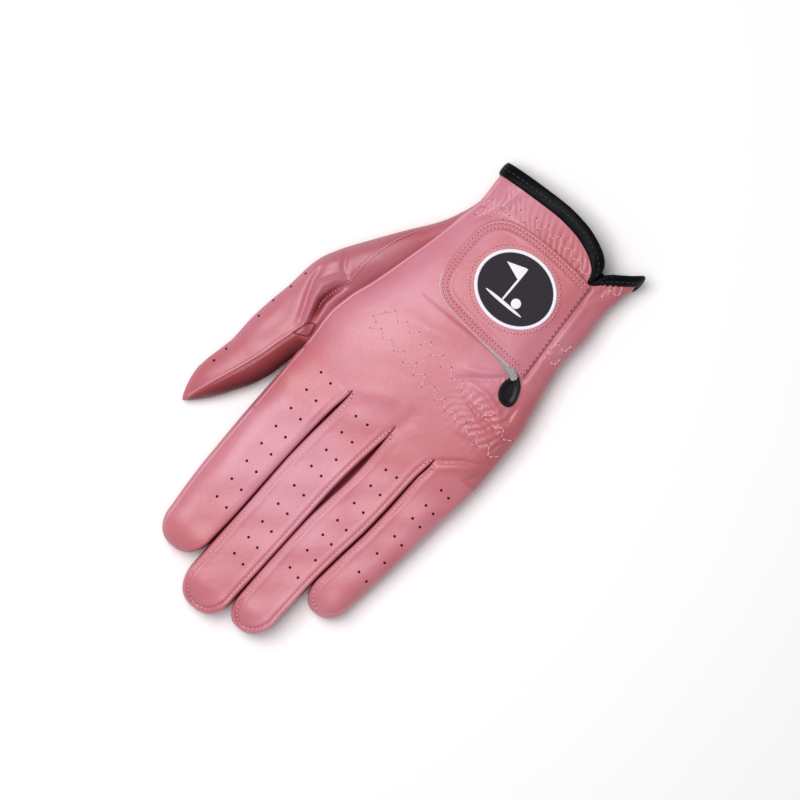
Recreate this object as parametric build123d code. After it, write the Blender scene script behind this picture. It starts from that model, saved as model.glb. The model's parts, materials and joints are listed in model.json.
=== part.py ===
from build123d import *
import math
import os
from dataclasses import dataclass

# A leather golf glove for the left hand, lying on its palm with the back of the hand up.
# +Y runs from the wrist to the fingertips, +X towards the thumb and +Z out of the back of the hand.
# The glove is drawn with the wrist at y = 0, then moved so that the origin is under its middle.
# All sizes are in millimetres.

# ---- leather and clearances ----
LEATHER = 0.8  # glove leather
GAP = 0.6  # room between two pieces that move past each other
SEAM_GAP = 0.3  # room between the closure tab and what lies under it
BEYOND = 60.0  # how far a cutting shape runs past what it cuts

# ---- hand ----
WRIST_Y = -3.5  # cut edge of the leather, inside the binding
KNUCKLE_Y = 120.0  # line that the four fingers turn about
HOOD_Y = KNUCKLE_Y - 1.5  # front edge of the back panel, which covers the knuckles
HAND_EXPONENT = 2.5  # roundness of the hand's cross-section
PALM_SINK = 0.8  # depth that the palm's crown is pressed flat by


@dataclass
class Station:
    """One cross-section of the hand: where it is, its two sides and its thickness."""

    y: float
    little_side: float
    thumb_side: float
    thickness: float


HAND = [
    Station(-30.0, -37.5, 34.5, 19.0),
    Station(0.0, -37.0, 34.5, 20.0),
    Station(22.0, -35.5, 36.0, 22.5),
    Station(45.0, -35.5, 41.0, 24.5),
    Station(68.0, -39.0, 48.0, 25.0),
    Station(92.0, -41.0, 52.5, 24.0),
    Station(116.0, -40.0, 52.0, 21.6),
    Station(140.0, -39.0, 51.5, 21.0),
]

# ---- thumb root: ellipses along the line of the thumb's metacarpal ----
THUMB_ROOT = [
    # x, y, half width, half thickness
    (31.0, 23.0, 3.5, 5.0),
    (36.0, 34.0, 6.5, 7.0),
    (42.0, 48.0, 9.5, 9.0),
    (50.5, 66.0, 12.0, 9.6),
    (62.0, 88.0, 11.2, 9.6),
    (72.0, 107.0, 10.4, 9.6),
]
THUMB_ROOT_TURN = 26.0  # degrees from +Y towards +X
THUMB_ROOT_RISE = 0.4  # height of its underside
THUMB_ROOT_PART_LINE = 0.4  # the hand panels reach this far past the hand's own surface


# ---- fingers ----
@dataclass
class Finger:
    """A leather finger: a tapered oval tube with a rounded end and two bending places."""

    name: str
    x: float  # centre of the knuckle
    y: float
    turn: float  # degrees from +Y towards +X
    length: float  # knuckle to tip
    root_half_width: float
    tip_half_width: float
    half_thick: float  # at the knuckle
    middle: float  # knuckle to middle joint
    nose: float  # length of the rounded end
    walls: tuple  # sides with a fourchette: -1 little finger side, +1 thumb side


FINGERS = [
    Finger("index", 38.9, KNUCKLE_Y, 0.7, 86.5, 12.2, 11.4, 9.0, 39.0, 12.0, (-1,)),
    Finger("middle", 12.8, KNUCKLE_Y, 2.3, 100.5, 10.9, 10.7, 9.0, 45.0, 11.5, (-1, 1)),
    Finger("ring", -8.9, KNUCKLE_Y, 2.9, 95.0, 9.5, 9.1, 9.0, 43.0, 10.5, (-1, 1)),
    Finger("little", -29.3, KNUCKLE_Y, 4.3, 70.0, 9.4, 8.6, 8.4, 30.0, 11.0, (1,)),
    Finger("thumb", 65.0, 91.0, 8.5, 66.0, 10.0, 8.0, 9.0, 30.0, 24.0, ()),
]
WALL_HEIGHT = 9.0  # visible height of a fourchette
WALL_INSET = 0.35  # a fourchette starts at this share of the finger's half width
KNUCKLE_BEND = 75.0  # degrees each finger bends at its knuckle
MIDDLE_BEND = 80.0  # and at its middle joint
KNUCKLE_SPARE = 0.8  # more room at the hood, which is straight where the knuckles are not
PALM_SPARE = 2.0  # and more under them, because the little finger's line is turned further

# ---- slit and its trim ----
SLIT_X = -23.2
SLIT_WIDTH = 1.4
SLIT_END_Y = 68.0
NOTCH_HALF_WIDTH = 5.0
NOTCH_Y = 12.0
TRIM_WIDTH = 2.6
TRIM_THICK = 0.7
STOP_X, STOP_Y = -26.0, 69.0  # the teardrop that stops the slit from tearing
STOP_HALF_WIDTH, STOP_TAIL = 4.6, 7.5
STOP_THICK = 1.0

# ---- wrist binding ----
BINDING_WIDTH = 6.2
BINDING_LIP = 1.3  # how far the binding stands past the leather's end
BINDING_THICK = 0.9

# ---- closure tab, in layers that follow the back of the hand ----
TAB_SEAM_X = -24.7
TAB_END_X = 27.6
TAB_LOW_Y, TAB_HIGH_Y = 13.0, 60.0
TAB_CORNER = 11.5
TAB_HOOK_INSET = 3.0
SEAM_WELT_WIDTH = 2.4
SEAM_WELT_THICK = 1.6
LOOP_THICK, HOOK_THICK = 1.0, 1.0
TAB_LINING, TAB_LEATHER = 0.4, 0.9
BADGE_X, BADGE_Y = -0.5, 35.0
BADGE_HALF_X, BADGE_HALF_Y = 17.6, 15.6
BADGE_RING_WIDTH = 1.5
BADGE_THICK, RING_THICK, EMBLEM_THICK = 0.8, 1.1, 0.25

# ---- elastic, inside the leather ----
ELASTIC_THICK = 0.6
KNUCKLE_ELASTIC = (-37.0, 35.0, 76.0, 89.0)  # low x, high x, low y, high y
WRIST_ELASTIC = (-17.0, 31.0, 4.5, 12.0)


def block(low, high):
    """A box between two corners."""
    size = [b - a for a, b in zip(low, high)]
    return Pos(*low) * Box(*size, align=(Align.MIN, Align.MIN, Align.MIN))


ALL = BEYOND * 6


def y_slab(low, high):
    return block((-ALL, low, -ALL), (ALL, high, ALL))


def z_slab(low, high):
    return block((-ALL, -ALL, low), (ALL, ALL, high))


def x_slab(low, high):
    return block((low, -ALL, -ALL), (high, ALL, ALL))


def prism(sketch):
    """A plan outline, drawn on z = 0, carried up through the whole back of the hand."""
    return extrude(Pos(0, 0, THICKEST / 2) * sketch, BEYOND, dir=(0, 0, 1))


THICKEST = max(station.thickness for station in HAND)


def hand_section(station, grow):
    """A closed superellipse on the station's plane, grown outwards by grow."""
    half_width = (station.thumb_side - station.little_side) / 2 + grow
    half_height = station.thickness / 2 + grow
    middle_x = (station.thumb_side + station.little_side) / 2
    middle_z = station.thickness / 2 - PALM_SINK
    points = []
    count = 20
    for i in range(count):
        angle = 2 * math.pi * i / count
        c, s = math.cos(angle), math.sin(angle)
        across = math.copysign(abs(c) ** (2 / HAND_EXPONENT), c)
        up = math.copysign(abs(s) ** (2 / HAND_EXPONENT), s)
        points.append((middle_x + half_width * across, station.y, middle_z + half_height * up))
    return Face(Wire(Spline(*points, periodic=True).edges()))


def hand_form(grow):
    """The hand's solid outer form grown by grow, longer than the glove at both ends."""
    return loft([hand_section(station, grow) for station in HAND])


def thumb_root_form(grow):
    """The thumb's root as a solid, grown by grow."""
    sections = []
    for x, y, half_width, half_thick in THUMB_ROOT:
        plane = Plane(
            origin=(x, y, half_thick + THUMB_ROOT_RISE),
            x_dir=(math.cos(math.radians(THUMB_ROOT_TURN)), -math.sin(math.radians(THUMB_ROOT_TURN)), 0),
            z_dir=(math.sin(math.radians(THUMB_ROOT_TURN)), math.cos(math.radians(THUMB_ROOT_TURN)), 0),
        )
        sections.append(plane * Ellipse(half_width + grow, half_thick + grow))
    return loft(sections)


def solid_of(shape, least=0.5):
    """One compound of the shape's solids, without the crumbs that a cut can leave."""
    return Compound([solid for solid in shape.solids() if solid.volume > least])


def largest(shape):
    """The shape's one largest solid."""
    return max(shape.solids(), key=lambda solid: solid.volume)


# ---- fingers ----
def finger_tube(finger, shrink):
    """The finger's outer form along +Y from its knuckle, with its walls moved in by shrink."""
    root, tip = finger.root_half_width - shrink, finger.tip_half_width - shrink
    back = -BEYOND / 2 if shrink else -finger.half_thick - LEATHER
    straight = finger.length - finger.nose
    slope = (tip - root) / straight
    nose = finger.nose - shrink
    side = Polyline((0, straight + nose), (0, back), (root + slope * back, back), (tip, straight))
    cap = EllipticalCenterArc((0, straight), tip, nose, start_angle=0, arc_size=90)
    flat = (finger.half_thick - shrink) / root
    return scale(revolve(make_face(side + cap), Axis.Y), by=(1, 1, flat))


def cross_rod(y, radius):
    """A rod along X, for the round end of a bending place."""
    return Pos(0, y, 0) * Rot(0, 90, 0) * Cylinder(radius, ALL)


def half_thick_at(finger, y):
    share = y / (finger.length - finger.nose)
    taper = finger.tip_half_width / finger.root_half_width
    return finger.half_thick * (1 + (taper - 1) * share)


def bend_room(radius, degrees):
    """How far back the palm side must stop for a part of that radius to bend by degrees."""
    return radius * math.tan(math.radians(degrees / 2)) + GAP


def place_finger(finger, shape):
    return Pos(finger.x, finger.y, finger.half_thick) * Rot(0, 0, -finger.turn) * shape


def finger_nodes(finger):
    """The lower and upper half of one finger, each as back, palm and fourchette shells."""
    shell = finger_tube(finger, 0) - finger_tube(finger, LEATHER)
    joint_radius = half_thick_at(finger, finger.middle)
    lower = shell & (y_slab(0, finger.middle) + cross_rod(0, finger.half_thick))
    room = bend_room(joint_radius, MIDDLE_BEND)
    lower -= cross_rod(finger.middle, joint_radius + GAP)
    lower -= block((-ALL, finger.middle - room, -ALL), (ALL, ALL, -joint_radius / 2))
    upper = shell & (y_slab(finger.middle, finger.length + 1) + cross_rod(finger.middle, joint_radius))
    nodes = {}
    for part, solid in (("lower", lower), ("upper", upper)):
        rest = solid
        for side in finger.walls:
            inset = finger.root_half_width * WALL_INSET
            near, far = (inset, ALL) if side > 0 else (-ALL, -inset)
            strip = block(
                (near, -ALL, -WALL_HEIGHT / 2),
                (far, finger.length - finger.nose, WALL_HEIGHT / 2),
            )
            faces = "thumb_side" if side > 0 else "little_side"
            nodes[f"{finger.name}_{part}_fourchette_{faces}"] = largest(rest & strip)
            rest -= strip
        nodes[f"{finger.name}_{part}_back"] = largest(rest & z_slab(0, ALL))
        nodes[f"{finger.name}_{part}_palm"] = largest(rest & z_slab(-ALL, 0))
    return {name: place_finger(finger, shape) for name, shape in nodes.items()}


def knuckle_room(finger, spare, palm_spare):
    """What the hand leaves out, across its whole width, so that this finger can turn."""
    radius = finger.half_thick + GAP + spare
    back = bend_room(finger.half_thick, KNUCKLE_BEND) + palm_spare
    under = block((-BEYOND * 2, -back, -BEYOND), (BEYOND * 2, BEYOND, 0))
    return place_finger(finger, cross_rod(0, radius) + under)


# ---- outlines ----
def slit_outline():
    """The slit in the back panel: a straight cut with a V at the wrist."""
    cut_length = SLIT_END_Y - (WRIST_Y - 5)
    cut = Pos(SLIT_X, SLIT_END_Y - cut_length / 2) * Rectangle(SLIT_WIDTH, cut_length)
    low = WRIST_Y - 5
    notch = Polyline(
        (SLIT_X, NOTCH_Y), (SLIT_X - NOTCH_HALF_WIDTH, low), (SLIT_X + NOTCH_HALF_WIDTH, low), close=True
    )
    return cut + make_face(notch)


def stop_outline():
    """A teardrop with its point towards the wrist."""
    point = (STOP_X + 0.8, STOP_Y - STOP_TAIL)
    cap = CenterArc((STOP_X, STOP_Y), STOP_HALF_WIDTH, -15, 210)
    left = Line(cap @ 1, point)
    right = Line(point, cap @ 0)
    return make_face(cap + left + right)


def tab_outline(inset=0.0, seam=TAB_SEAM_X):
    """The closure tab: straight at its sewn edge, with two round corners at its free end."""
    low, high = TAB_LOW_Y + inset, TAB_HIGH_Y - inset
    width = TAB_END_X - inset - seam
    flat = Pos(seam + width / 2, (low + high) / 2) * Rectangle(width, high - low)
    free = flat.vertices().filter_by_position(Axis.X, seam + width - 0.01, seam + width + 0.01)
    return fillet(free, TAB_CORNER - inset)


def strip_outline(strip):
    low_x, high_x, low_y, high_y = strip
    return Pos((low_x + high_x) / 2, (low_y + high_y) / 2) * Rectangle(high_x - low_x, high_y - low_y)


def emblem_outline():
    """A plain flag on its pole over a ball."""
    pole = Pos(BADGE_X, BADGE_Y) * Rectangle(1.0, 17.0)
    flag_top = BADGE_Y - 8.5
    flag = make_face(
        Polyline((BADGE_X, flag_top), (BADGE_X, flag_top + 7), (BADGE_X + 8.5, flag_top + 3.5), close=True)
    )
    ball = Pos(BADGE_X - 5.5, BADGE_Y + 7.5) * Circle(2.2)
    return pole + flag, ball


def build():
    """Every node, with the wrist at y = 0."""
    forms = {}

    def form(grow):
        key = round(grow, 3)
        if key not in forms:
            forms[key] = hand_form(grow)
        return forms[key]

    def layer(outline, low, high):
        """A piece of that plan outline, lying on the back of the hand between two heights over it."""
        return largest((form(high) - form(low)) & prism(outline))

    def hollow(wall):
        """The space inside a wall of that thickness, which is flat where the wall lies on the table."""
        return form(-wall) & z_slab(wall, ALL)

    nodes = {}
    # leather panels of the hand
    ground = z_slab(0, ALL)
    thumb = FINGERS[-1]
    root = thumb_root_form(0) - knuckle_room(thumb, 0, 0) - place_finger(thumb, y_slab(0, ALL))
    knuckles = knuckle_room(FINGERS[1], KNUCKLE_SPARE, PALM_SPARE)
    outer = (form(0) & ground & y_slab(WRIST_Y, HOOD_Y)) - knuckles
    outer += largest(root)
    inner = hollow(LEATHER) + thumb_root_form(-LEATHER)
    shell = outer - inner - prism(slit_outline())
    part_line = THICKEST / 2 - PALM_SINK
    panels = shell & form(THUMB_ROOT_PART_LINE)
    nodes["back_panel"] = largest(panels & z_slab(part_line, ALL))
    nodes["palm_panel"] = largest(panels & z_slab(-ALL, part_line))
    nodes["thumb_gusset"] = largest(shell - form(THUMB_ROOT_PART_LINE))

    # wrist binding, folded over the cut edge
    low = WRIST_Y - BINDING_LIP
    rim = (form(BINDING_THICK) & ground & y_slab(low, low + BINDING_WIDTH)) - hollow(LEATHER + BINDING_THICK)
    covered = (form(0) & ground & y_slab(WRIST_Y, low + BINDING_WIDTH + BEYOND)) - hollow(LEATHER)
    nodes["wrist_binding"] = largest(rim - covered - prism(slit_outline()))

    # slit trim and stop
    trim_low = low + BINDING_WIDTH + GAP
    trim_high = STOP_Y - STOP_TAIL
    edges = Pos(SLIT_X, (trim_low + trim_high) / 2) * Rectangle(
        SLIT_WIDTH + 2 * TRIM_WIDTH, trim_high - trim_low
    )
    trim = (form(TRIM_THICK) - form(0)) & prism(edges - slit_outline())
    nodes["slit_trim"] = solid_of(trim)
    nodes["slit_stop"] = layer(stop_outline(), 0, STOP_THICK)

    # loop patch on the hand
    loop = Pos(5.0, (TAB_LOW_Y + TAB_HIGH_Y) / 2) * RectangleRounded(36, 34, 4)
    nodes["loop_patch"] = layer(loop, 0, LOOP_THICK)

    # closure tab
    hook_low = LOOP_THICK + SEAM_GAP
    lining_low = hook_low + HOOK_THICK
    leather_low = lining_low + TAB_LINING
    badge_low = leather_low + TAB_LEATHER
    emblem_low = badge_low + BADGE_THICK
    hook = tab_outline(TAB_HOOK_INSET, SLIT_X + SLIT_WIDTH + TRIM_WIDTH + 1.0)
    nodes["hook_patch"] = layer(hook, hook_low, lining_low)
    nodes["tab_lining"] = layer(tab_outline(1.2), lining_low, leather_low)
    nodes["tab_leather"] = layer(tab_outline(), leather_low, badge_low)
    face = Pos(BADGE_X, BADGE_Y) * Ellipse(BADGE_HALF_X - BADGE_RING_WIDTH, BADGE_HALF_Y - BADGE_RING_WIDTH)
    ring = Pos(BADGE_X, BADGE_Y) * Ellipse(BADGE_HALF_X, BADGE_HALF_Y) - face
    nodes["badge_face"] = layer(face, badge_low, emblem_low)
    nodes["badge_ring"] = layer(ring, badge_low, badge_low + RING_THICK)
    flag, ball = emblem_outline()
    nodes["badge_flag"] = layer(flag, emblem_low, emblem_low + EMBLEM_THICK)
    nodes["badge_ball"] = layer(ball, emblem_low, emblem_low + EMBLEM_THICK)
    welt = Pos(TAB_SEAM_X - GAP - SEAM_WELT_WIDTH / 2, (TAB_LOW_Y + TAB_HIGH_Y) / 2) * Rectangle(
        SEAM_WELT_WIDTH, TAB_HIGH_Y - TAB_LOW_Y
    )
    welt_solid = (form(SEAM_WELT_THICK) - form(0)) & prism(welt)
    nodes["tab_seam_welt"] = largest(welt_solid - nodes["slit_trim"])

    # elastic under the leather
    inside = -LEATHER
    nodes["knuckle_elastic"] = layer(strip_outline(KNUCKLE_ELASTIC), inside - ELASTIC_THICK, inside)
    nodes["wrist_elastic"] = layer(strip_outline(WRIST_ELASTIC), inside - ELASTIC_THICK, inside)

    for finger in FINGERS:
        nodes.update(finger_nodes(finger))
    return nodes


def centred(nodes):
    """Moves everything so that the origin is under the middle of the glove, on the table."""
    box = Compound(list(nodes.values())).bounding_box()
    shift = Vector(-box.center().X, -box.center().Y, -box.min.Z)
    return {name: Pos(*shift) * shape for name, shape in nodes.items()}


os.makedirs("parts", exist_ok=True)
for node_name, node_shape in centred(build()).items():
    export_step(node_shape, f"parts/{node_name}.step")
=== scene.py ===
"""A left-hand golf glove of soft rose-pink leather, lying on its palm with its back up.

Sizes are millimetres in the glove's drawing frame: x towards the thumb, y towards the fingertips, z up out
of the back of the hand, with the wrist at y = 0. Meshes are turned into metres in the row frame as they are made.
"""
import json
import logging
from dataclasses import dataclass, field
from enum import Enum
from typing import Callable, Protocol, Sequence

import bpy
import numpy as np
from mathutils import Matrix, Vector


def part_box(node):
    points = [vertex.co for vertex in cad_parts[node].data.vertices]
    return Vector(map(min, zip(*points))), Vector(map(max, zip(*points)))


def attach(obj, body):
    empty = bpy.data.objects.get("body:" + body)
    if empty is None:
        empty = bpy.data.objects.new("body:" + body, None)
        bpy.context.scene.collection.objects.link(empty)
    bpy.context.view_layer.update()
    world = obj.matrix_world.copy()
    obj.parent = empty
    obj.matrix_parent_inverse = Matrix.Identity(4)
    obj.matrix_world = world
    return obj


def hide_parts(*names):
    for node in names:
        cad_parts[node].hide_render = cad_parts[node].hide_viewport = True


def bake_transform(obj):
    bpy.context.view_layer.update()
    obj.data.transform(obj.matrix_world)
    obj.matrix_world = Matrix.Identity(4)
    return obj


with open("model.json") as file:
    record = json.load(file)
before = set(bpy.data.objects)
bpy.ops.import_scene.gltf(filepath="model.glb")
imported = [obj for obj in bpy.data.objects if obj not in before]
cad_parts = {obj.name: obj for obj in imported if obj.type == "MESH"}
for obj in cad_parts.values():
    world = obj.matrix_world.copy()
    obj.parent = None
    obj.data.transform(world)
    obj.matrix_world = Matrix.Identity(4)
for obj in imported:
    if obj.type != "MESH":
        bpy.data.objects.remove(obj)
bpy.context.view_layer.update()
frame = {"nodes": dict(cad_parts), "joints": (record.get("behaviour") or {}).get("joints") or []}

LOG = logging.getLogger("glove")
Array = np.ndarray
Triple = tuple[float, float, float]
Plan = tuple[tuple[float, float], ...]
Piece = bpy.types.Object
Material = bpy.types.Material
Surface = Callable[[Array, Array], Array]

MM = 0.001
TAB_END_X = 27.6
WRIST_END_Y = -4.8
TABLE = 0.02  # height of whatever lies on the table
FORK_Y = 109.0  # line where the hand's skin hands over to the four fingers
OVERLAP = 0.35  # how far the hand's skin lies over theirs
SEAM_IN = 1.8  # how far in from a finger's edge its stitches run
SPAN_POINTS = 16  # samples between two points of a smooth path
DOME_RINGS, DOME_SIDES = 3, 8  # faces of a hole
UNDERSIDE_RINGS = (0.02, 0.15, 0.3, 0.45, 0.6, 0.75, 0.88, 1.0)  # shares of a pad's outline
TOP_SHARE = 0.74  # a pad with relief has its close rings outside this share


def drawing_shift() -> Array:
    """Offset in millimetres from the drawing frame to the row frame.

    Returns:
        A vector of three numbers, read from the ends of the closure tab and the wrist binding.
    """
    tab_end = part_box("tab_leather")[1].x / MM
    wrist_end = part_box("wrist_binding")[0].y / MM
    return np.array([tab_end - TAB_END_X, wrist_end - WRIST_END_Y, 0.0])


SHIFT = drawing_shift()


def in_row(points: Array) -> Array:
    """Drawing millimetres as row-frame metres."""
    return (np.asarray(points, float) + SHIFT) * MM


# ---------------------------------------------------------------- curves and profiles
def ease(share: Array) -> Array:
    """The smooth step 3t^2 - 2t^3 of a share held between 0 and 1."""
    t = np.clip(share, 0.0, 1.0)
    return t * t * (3.0 - 2.0 * t)


def bell(distance: Array, width: float) -> Array:
    """The bell curve exp(-(distance / width)^2)."""
    return np.exp(-np.square(distance / width))


def unit(vectors: Array) -> Array:
    """Vectors scaled to length one."""
    return vectors / np.maximum(np.linalg.norm(vectors, axis=-1, keepdims=True), 1e-9)


@dataclass(frozen=True)
class Stations:
    """A smooth curve through a few (place, value) pairs, flat beyond both ends.

    Between two pairs it is the cubic Hermite curve whose slopes are the harmonic mean of the neighbouring
    chords, or zero where those chords turn, so it never overshoots a station.
    """

    pairs: Plan

    def __call__(self, at: Array) -> Array:
        """Value of the curve.

        Args:
            at: Places to read it at.

        Returns:
            One value for each place.
        """
        places, values = np.array(self.pairs, float).T
        chords = np.diff(values) / np.diff(places)
        slopes = np.zeros(len(values))
        same = chords[1:] * chords[:-1] > 0
        total = np.where(same, chords[1:] + chords[:-1], 1.0)
        slopes[1:-1] = np.where(same, 2 * chords[1:] * chords[:-1] / total, 0.0)
        slopes[0], slopes[-1] = chords[0], chords[-1]
        at = np.asarray(at, float)
        i = np.clip(np.searchsorted(places, at) - 1, 0, len(chords) - 1)
        gap = places[i + 1] - places[i]
        t = np.clip((at - places[i]) / gap, 0.0, 1.0)
        rise = values[i] * (2 * t**3 - 3 * t**2 + 1) + values[i + 1] * (3 * t**2 - 2 * t**3)
        return rise + gap * (slopes[i] * (t**3 - 2 * t**2 + t) + slopes[i + 1] * (t**3 - t**2))


def resample(path: Array, count: int) -> Array:
    """Points spaced evenly by length along a polyline.

    Args:
        path: Points as rows, of two or three coordinates.
        count: Number of points wanted, both ends included.

    Returns:
        The new points as rows.
    """
    steps = np.linalg.norm(np.diff(path, axis=0), axis=1)
    length = np.concatenate([[0.0], np.cumsum(steps)])
    wanted = np.linspace(0.0, length[-1], count)
    return np.stack([np.interp(wanted, length, column) for column in path.T], axis=1)


def smooth_path(points: Sequence[tuple[float, ...]]) -> Array:
    """A Catmull-Rom curve through given points.

    Args:
        points: The points it passes through.

    Returns:
        The curve's points as rows. Each span is the cubic whose end slopes are half the chord between
        the neighbours.
    """
    p = np.array(points, float)
    p = np.vstack([2 * p[0] - p[1], p, 2 * p[-1] - p[-2]])
    t = np.linspace(0.0, 1.0, SPAN_POINTS, endpoint=False)[None, :, None]
    a, b, c, d = (p[k : len(p) - 3 + k, None, :] for k in range(4))
    curve = b + 0.5 * t * (c - a) + t**2 * (a - 2.5 * b + 2 * c - 0.5 * d) + t**3 * (1.5 * (b - c) + 0.5 * (d - a))
    return np.vstack([curve.reshape(-1, p.shape[1]), p[-2]])


def closed_curve(corners: Plan, count: int = 96) -> Array:
    """A smooth closed curve through corners.

    Args:
        corners: Plan points, counter-clockwise.
        count: Number of points wanted.

    Returns:
        Evenly spaced points of the smooth path once round, without its overlapping ends.
    """
    curve = smooth_path((corners[-1], *corners, corners[0]))[SPAN_POINTS:-SPAN_POINTS]
    return resample(np.vstack([curve, curve[:1]]), count + 1)[:-1]


@dataclass(frozen=True)
class Crease:
    """A fold in the leather: a bell-shaped valley or ridge along a path that fades at both ends."""

    points: Plan
    height: float
    width: float

    def __call__(self, x: Array, y: Array) -> Array:
        """Height of the fold: height * bell(distance to the path) * sin of the share along the path."""
        path = np.array(self.points, float)
        nearest = np.full(np.shape(x), np.inf)
        along = np.zeros(np.shape(x))
        spans = len(path) - 1
        for k, (start, end) in enumerate(zip(path, path[1:])):
            d = end - start
            t = np.clip(((x - start[0]) * d[0] + (y - start[1]) * d[1]) / (d @ d), 0.0, 1.0)
            away = np.hypot(x - start[0] - t * d[0], y - start[1] - t * d[1])
            closer = away < nearest
            nearest = np.where(closer, away, nearest)
            along = np.where(closer, (k + t) / spans, along)
        return self.height * bell(nearest, self.width) * np.sin(np.pi * np.clip(along, 0.04, 0.96)) ** 0.6


# ---------------------------------------------------------------- meshes
class Winding(Enum):
    """Which way a grid's faces turn: rows then columns, or columns then rows."""

    ROWS_FIRST = 0
    COLUMNS_FIRST = 1


def make_object(name: str, points: Array, quads: Array, triangles: Array, tone: Array | None = None) -> Piece:
    """A smooth-shaded mesh object at the origin, in row-frame metres.

    Args:
        name: Object name.
        points: Vertices in drawing millimetres.
        quads: Four vertex numbers a row.
        triangles: Three vertex numbers a row.
        tone: Painted shade, a number from 0 to 1 at each vertex, kept as the attribute "tone".

    Returns:
        The new object, linked to the scene.
    """
    mesh = bpy.data.meshes.new(name)
    mesh.from_pydata(in_row(points).tolist(), [], quads.tolist() + triangles.tolist())
    mesh.polygons.foreach_set("use_smooth", np.ones(len(mesh.polygons), bool))
    values = np.zeros(len(points)) if tone is None else np.clip(tone.ravel(), 0.0, 1.0)
    mesh.attributes.new("tone", "FLOAT", "POINT").data.foreach_set("value", values.astype(np.float32))
    mesh.update()
    made = bpy.data.objects.new(name, mesh)
    bpy.context.scene.collection.objects.link(made)
    return made


def grid_mesh(
    name: str,
    grid: Array,
    wrap: bool,
    winding: Winding = Winding.ROWS_FIRST,
    start_pole: bool = False,
    end_pole: bool = False,
    tone: Array | None = None,
) -> Piece:
    """A mesh from a grid of points.

    Args:
        name: Object name.
        grid: Points as rows x columns x 3.
        wrap: Whether the last column joins the first.
        winding: The turn of the faces that makes them point outwards.
        start_pole: Whether the first row is closed by a fan about its middle.
        end_pole: Whether the last row is.
        tone: Painted shade at each grid point.

    Returns:
        The new object.
    """
    rows, columns = grid.shape[:2]
    number = np.arange(rows * columns).reshape(rows, columns)
    if wrap:
        number = np.hstack([number, number[:, :1]])
    a, b, c, d = number[:-1, :-1], number[1:, :-1], number[1:, 1:], number[:-1, 1:]
    order = (a, b, c, d) if winding is Winding.ROWS_FIRST else (a, d, c, b)
    quads = np.stack(order, axis=-1).reshape(-1, 4)
    points = grid.reshape(-1, 3)
    painted_shades = np.zeros(len(points)) if tone is None else np.asarray(tone, float).ravel()
    fans = []
    for wanted, row, first in ((start_pole, number[0], True), (end_pole, number[-1], False)):
        if not wanted:
            continue
        middle = len(points)
        points = np.vstack([points, points[row[:-1]].mean(axis=0)])
        painted_shades = np.append(painted_shades, painted_shades[row[:-1]].mean())
        ends = (row[:-1], row[1:]) if first == (winding is Winding.ROWS_FIRST) else (row[1:], row[:-1])
        fans.append(np.stack([ends[0], ends[1], np.full(len(row) - 1, middle)], axis=-1))
    triangles = np.vstack(fans) if fans else np.zeros((0, 3), int)
    return make_object(name, points, quads, triangles, painted_shades)


def joined(name: str, template: Array, faces: Array, tone: Array | None = None) -> Piece:
    """Many copies of one small shape as one mesh.

    Args:
        name: Object name.
        template: Copies x vertices x 3, already placed.
        faces: The quads of one copy. A quad whose last two numbers match is a triangle.
        tone: Painted shade at each vertex of one copy.

    Returns:
        The new object.
    """
    copies, size = template.shape[:2]
    numbers = faces[None] + np.arange(copies)[:, None, None] * size
    three = faces[:, 2] == faces[:, 3]
    quads = numbers[:, ~three].reshape(-1, 4)
    triangles = numbers[:, three].reshape(-1, 4)[:, :3]
    painted_shades = None if tone is None else np.tile(tone, copies)
    return make_object(name, template.reshape(-1, 3), quads, triangles, painted_shades)


def lathe_faces(rings: int, around: int) -> Array:
    """Faces of a pole, rings of points and a pole, as quads with triangles marked by a repeated last number."""
    ring = 1 + np.arange(rings)[:, None] * around + np.arange(around)[None]
    turned = np.roll(ring, -1, axis=1)
    body = np.stack([ring[:-1], turned[:-1], turned[1:], ring[1:]], axis=-1).reshape(-1, 4)
    last = 1 + rings * around
    start = np.stack([np.zeros(around, int), turned[0], ring[0], ring[0]], axis=-1)
    end = np.stack([np.full(around, last), ring[-1], turned[-1], turned[-1]], axis=-1)
    return np.vstack([start, body, end])


def surface_normals(surface: Surface, a: Array, b: Array) -> Array:
    """Upward unit normals of a surface from its central differences over a tenth of a millimetre."""
    e = 0.05
    along_a = surface(a + e, b) - surface(a - e, b)
    along_b = surface(a, b + e) - surface(a, b - e)
    normal = unit(np.cross(along_a, along_b))
    return normal * np.where(normal[..., 2:] < 0, -1.0, 1.0)


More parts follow.
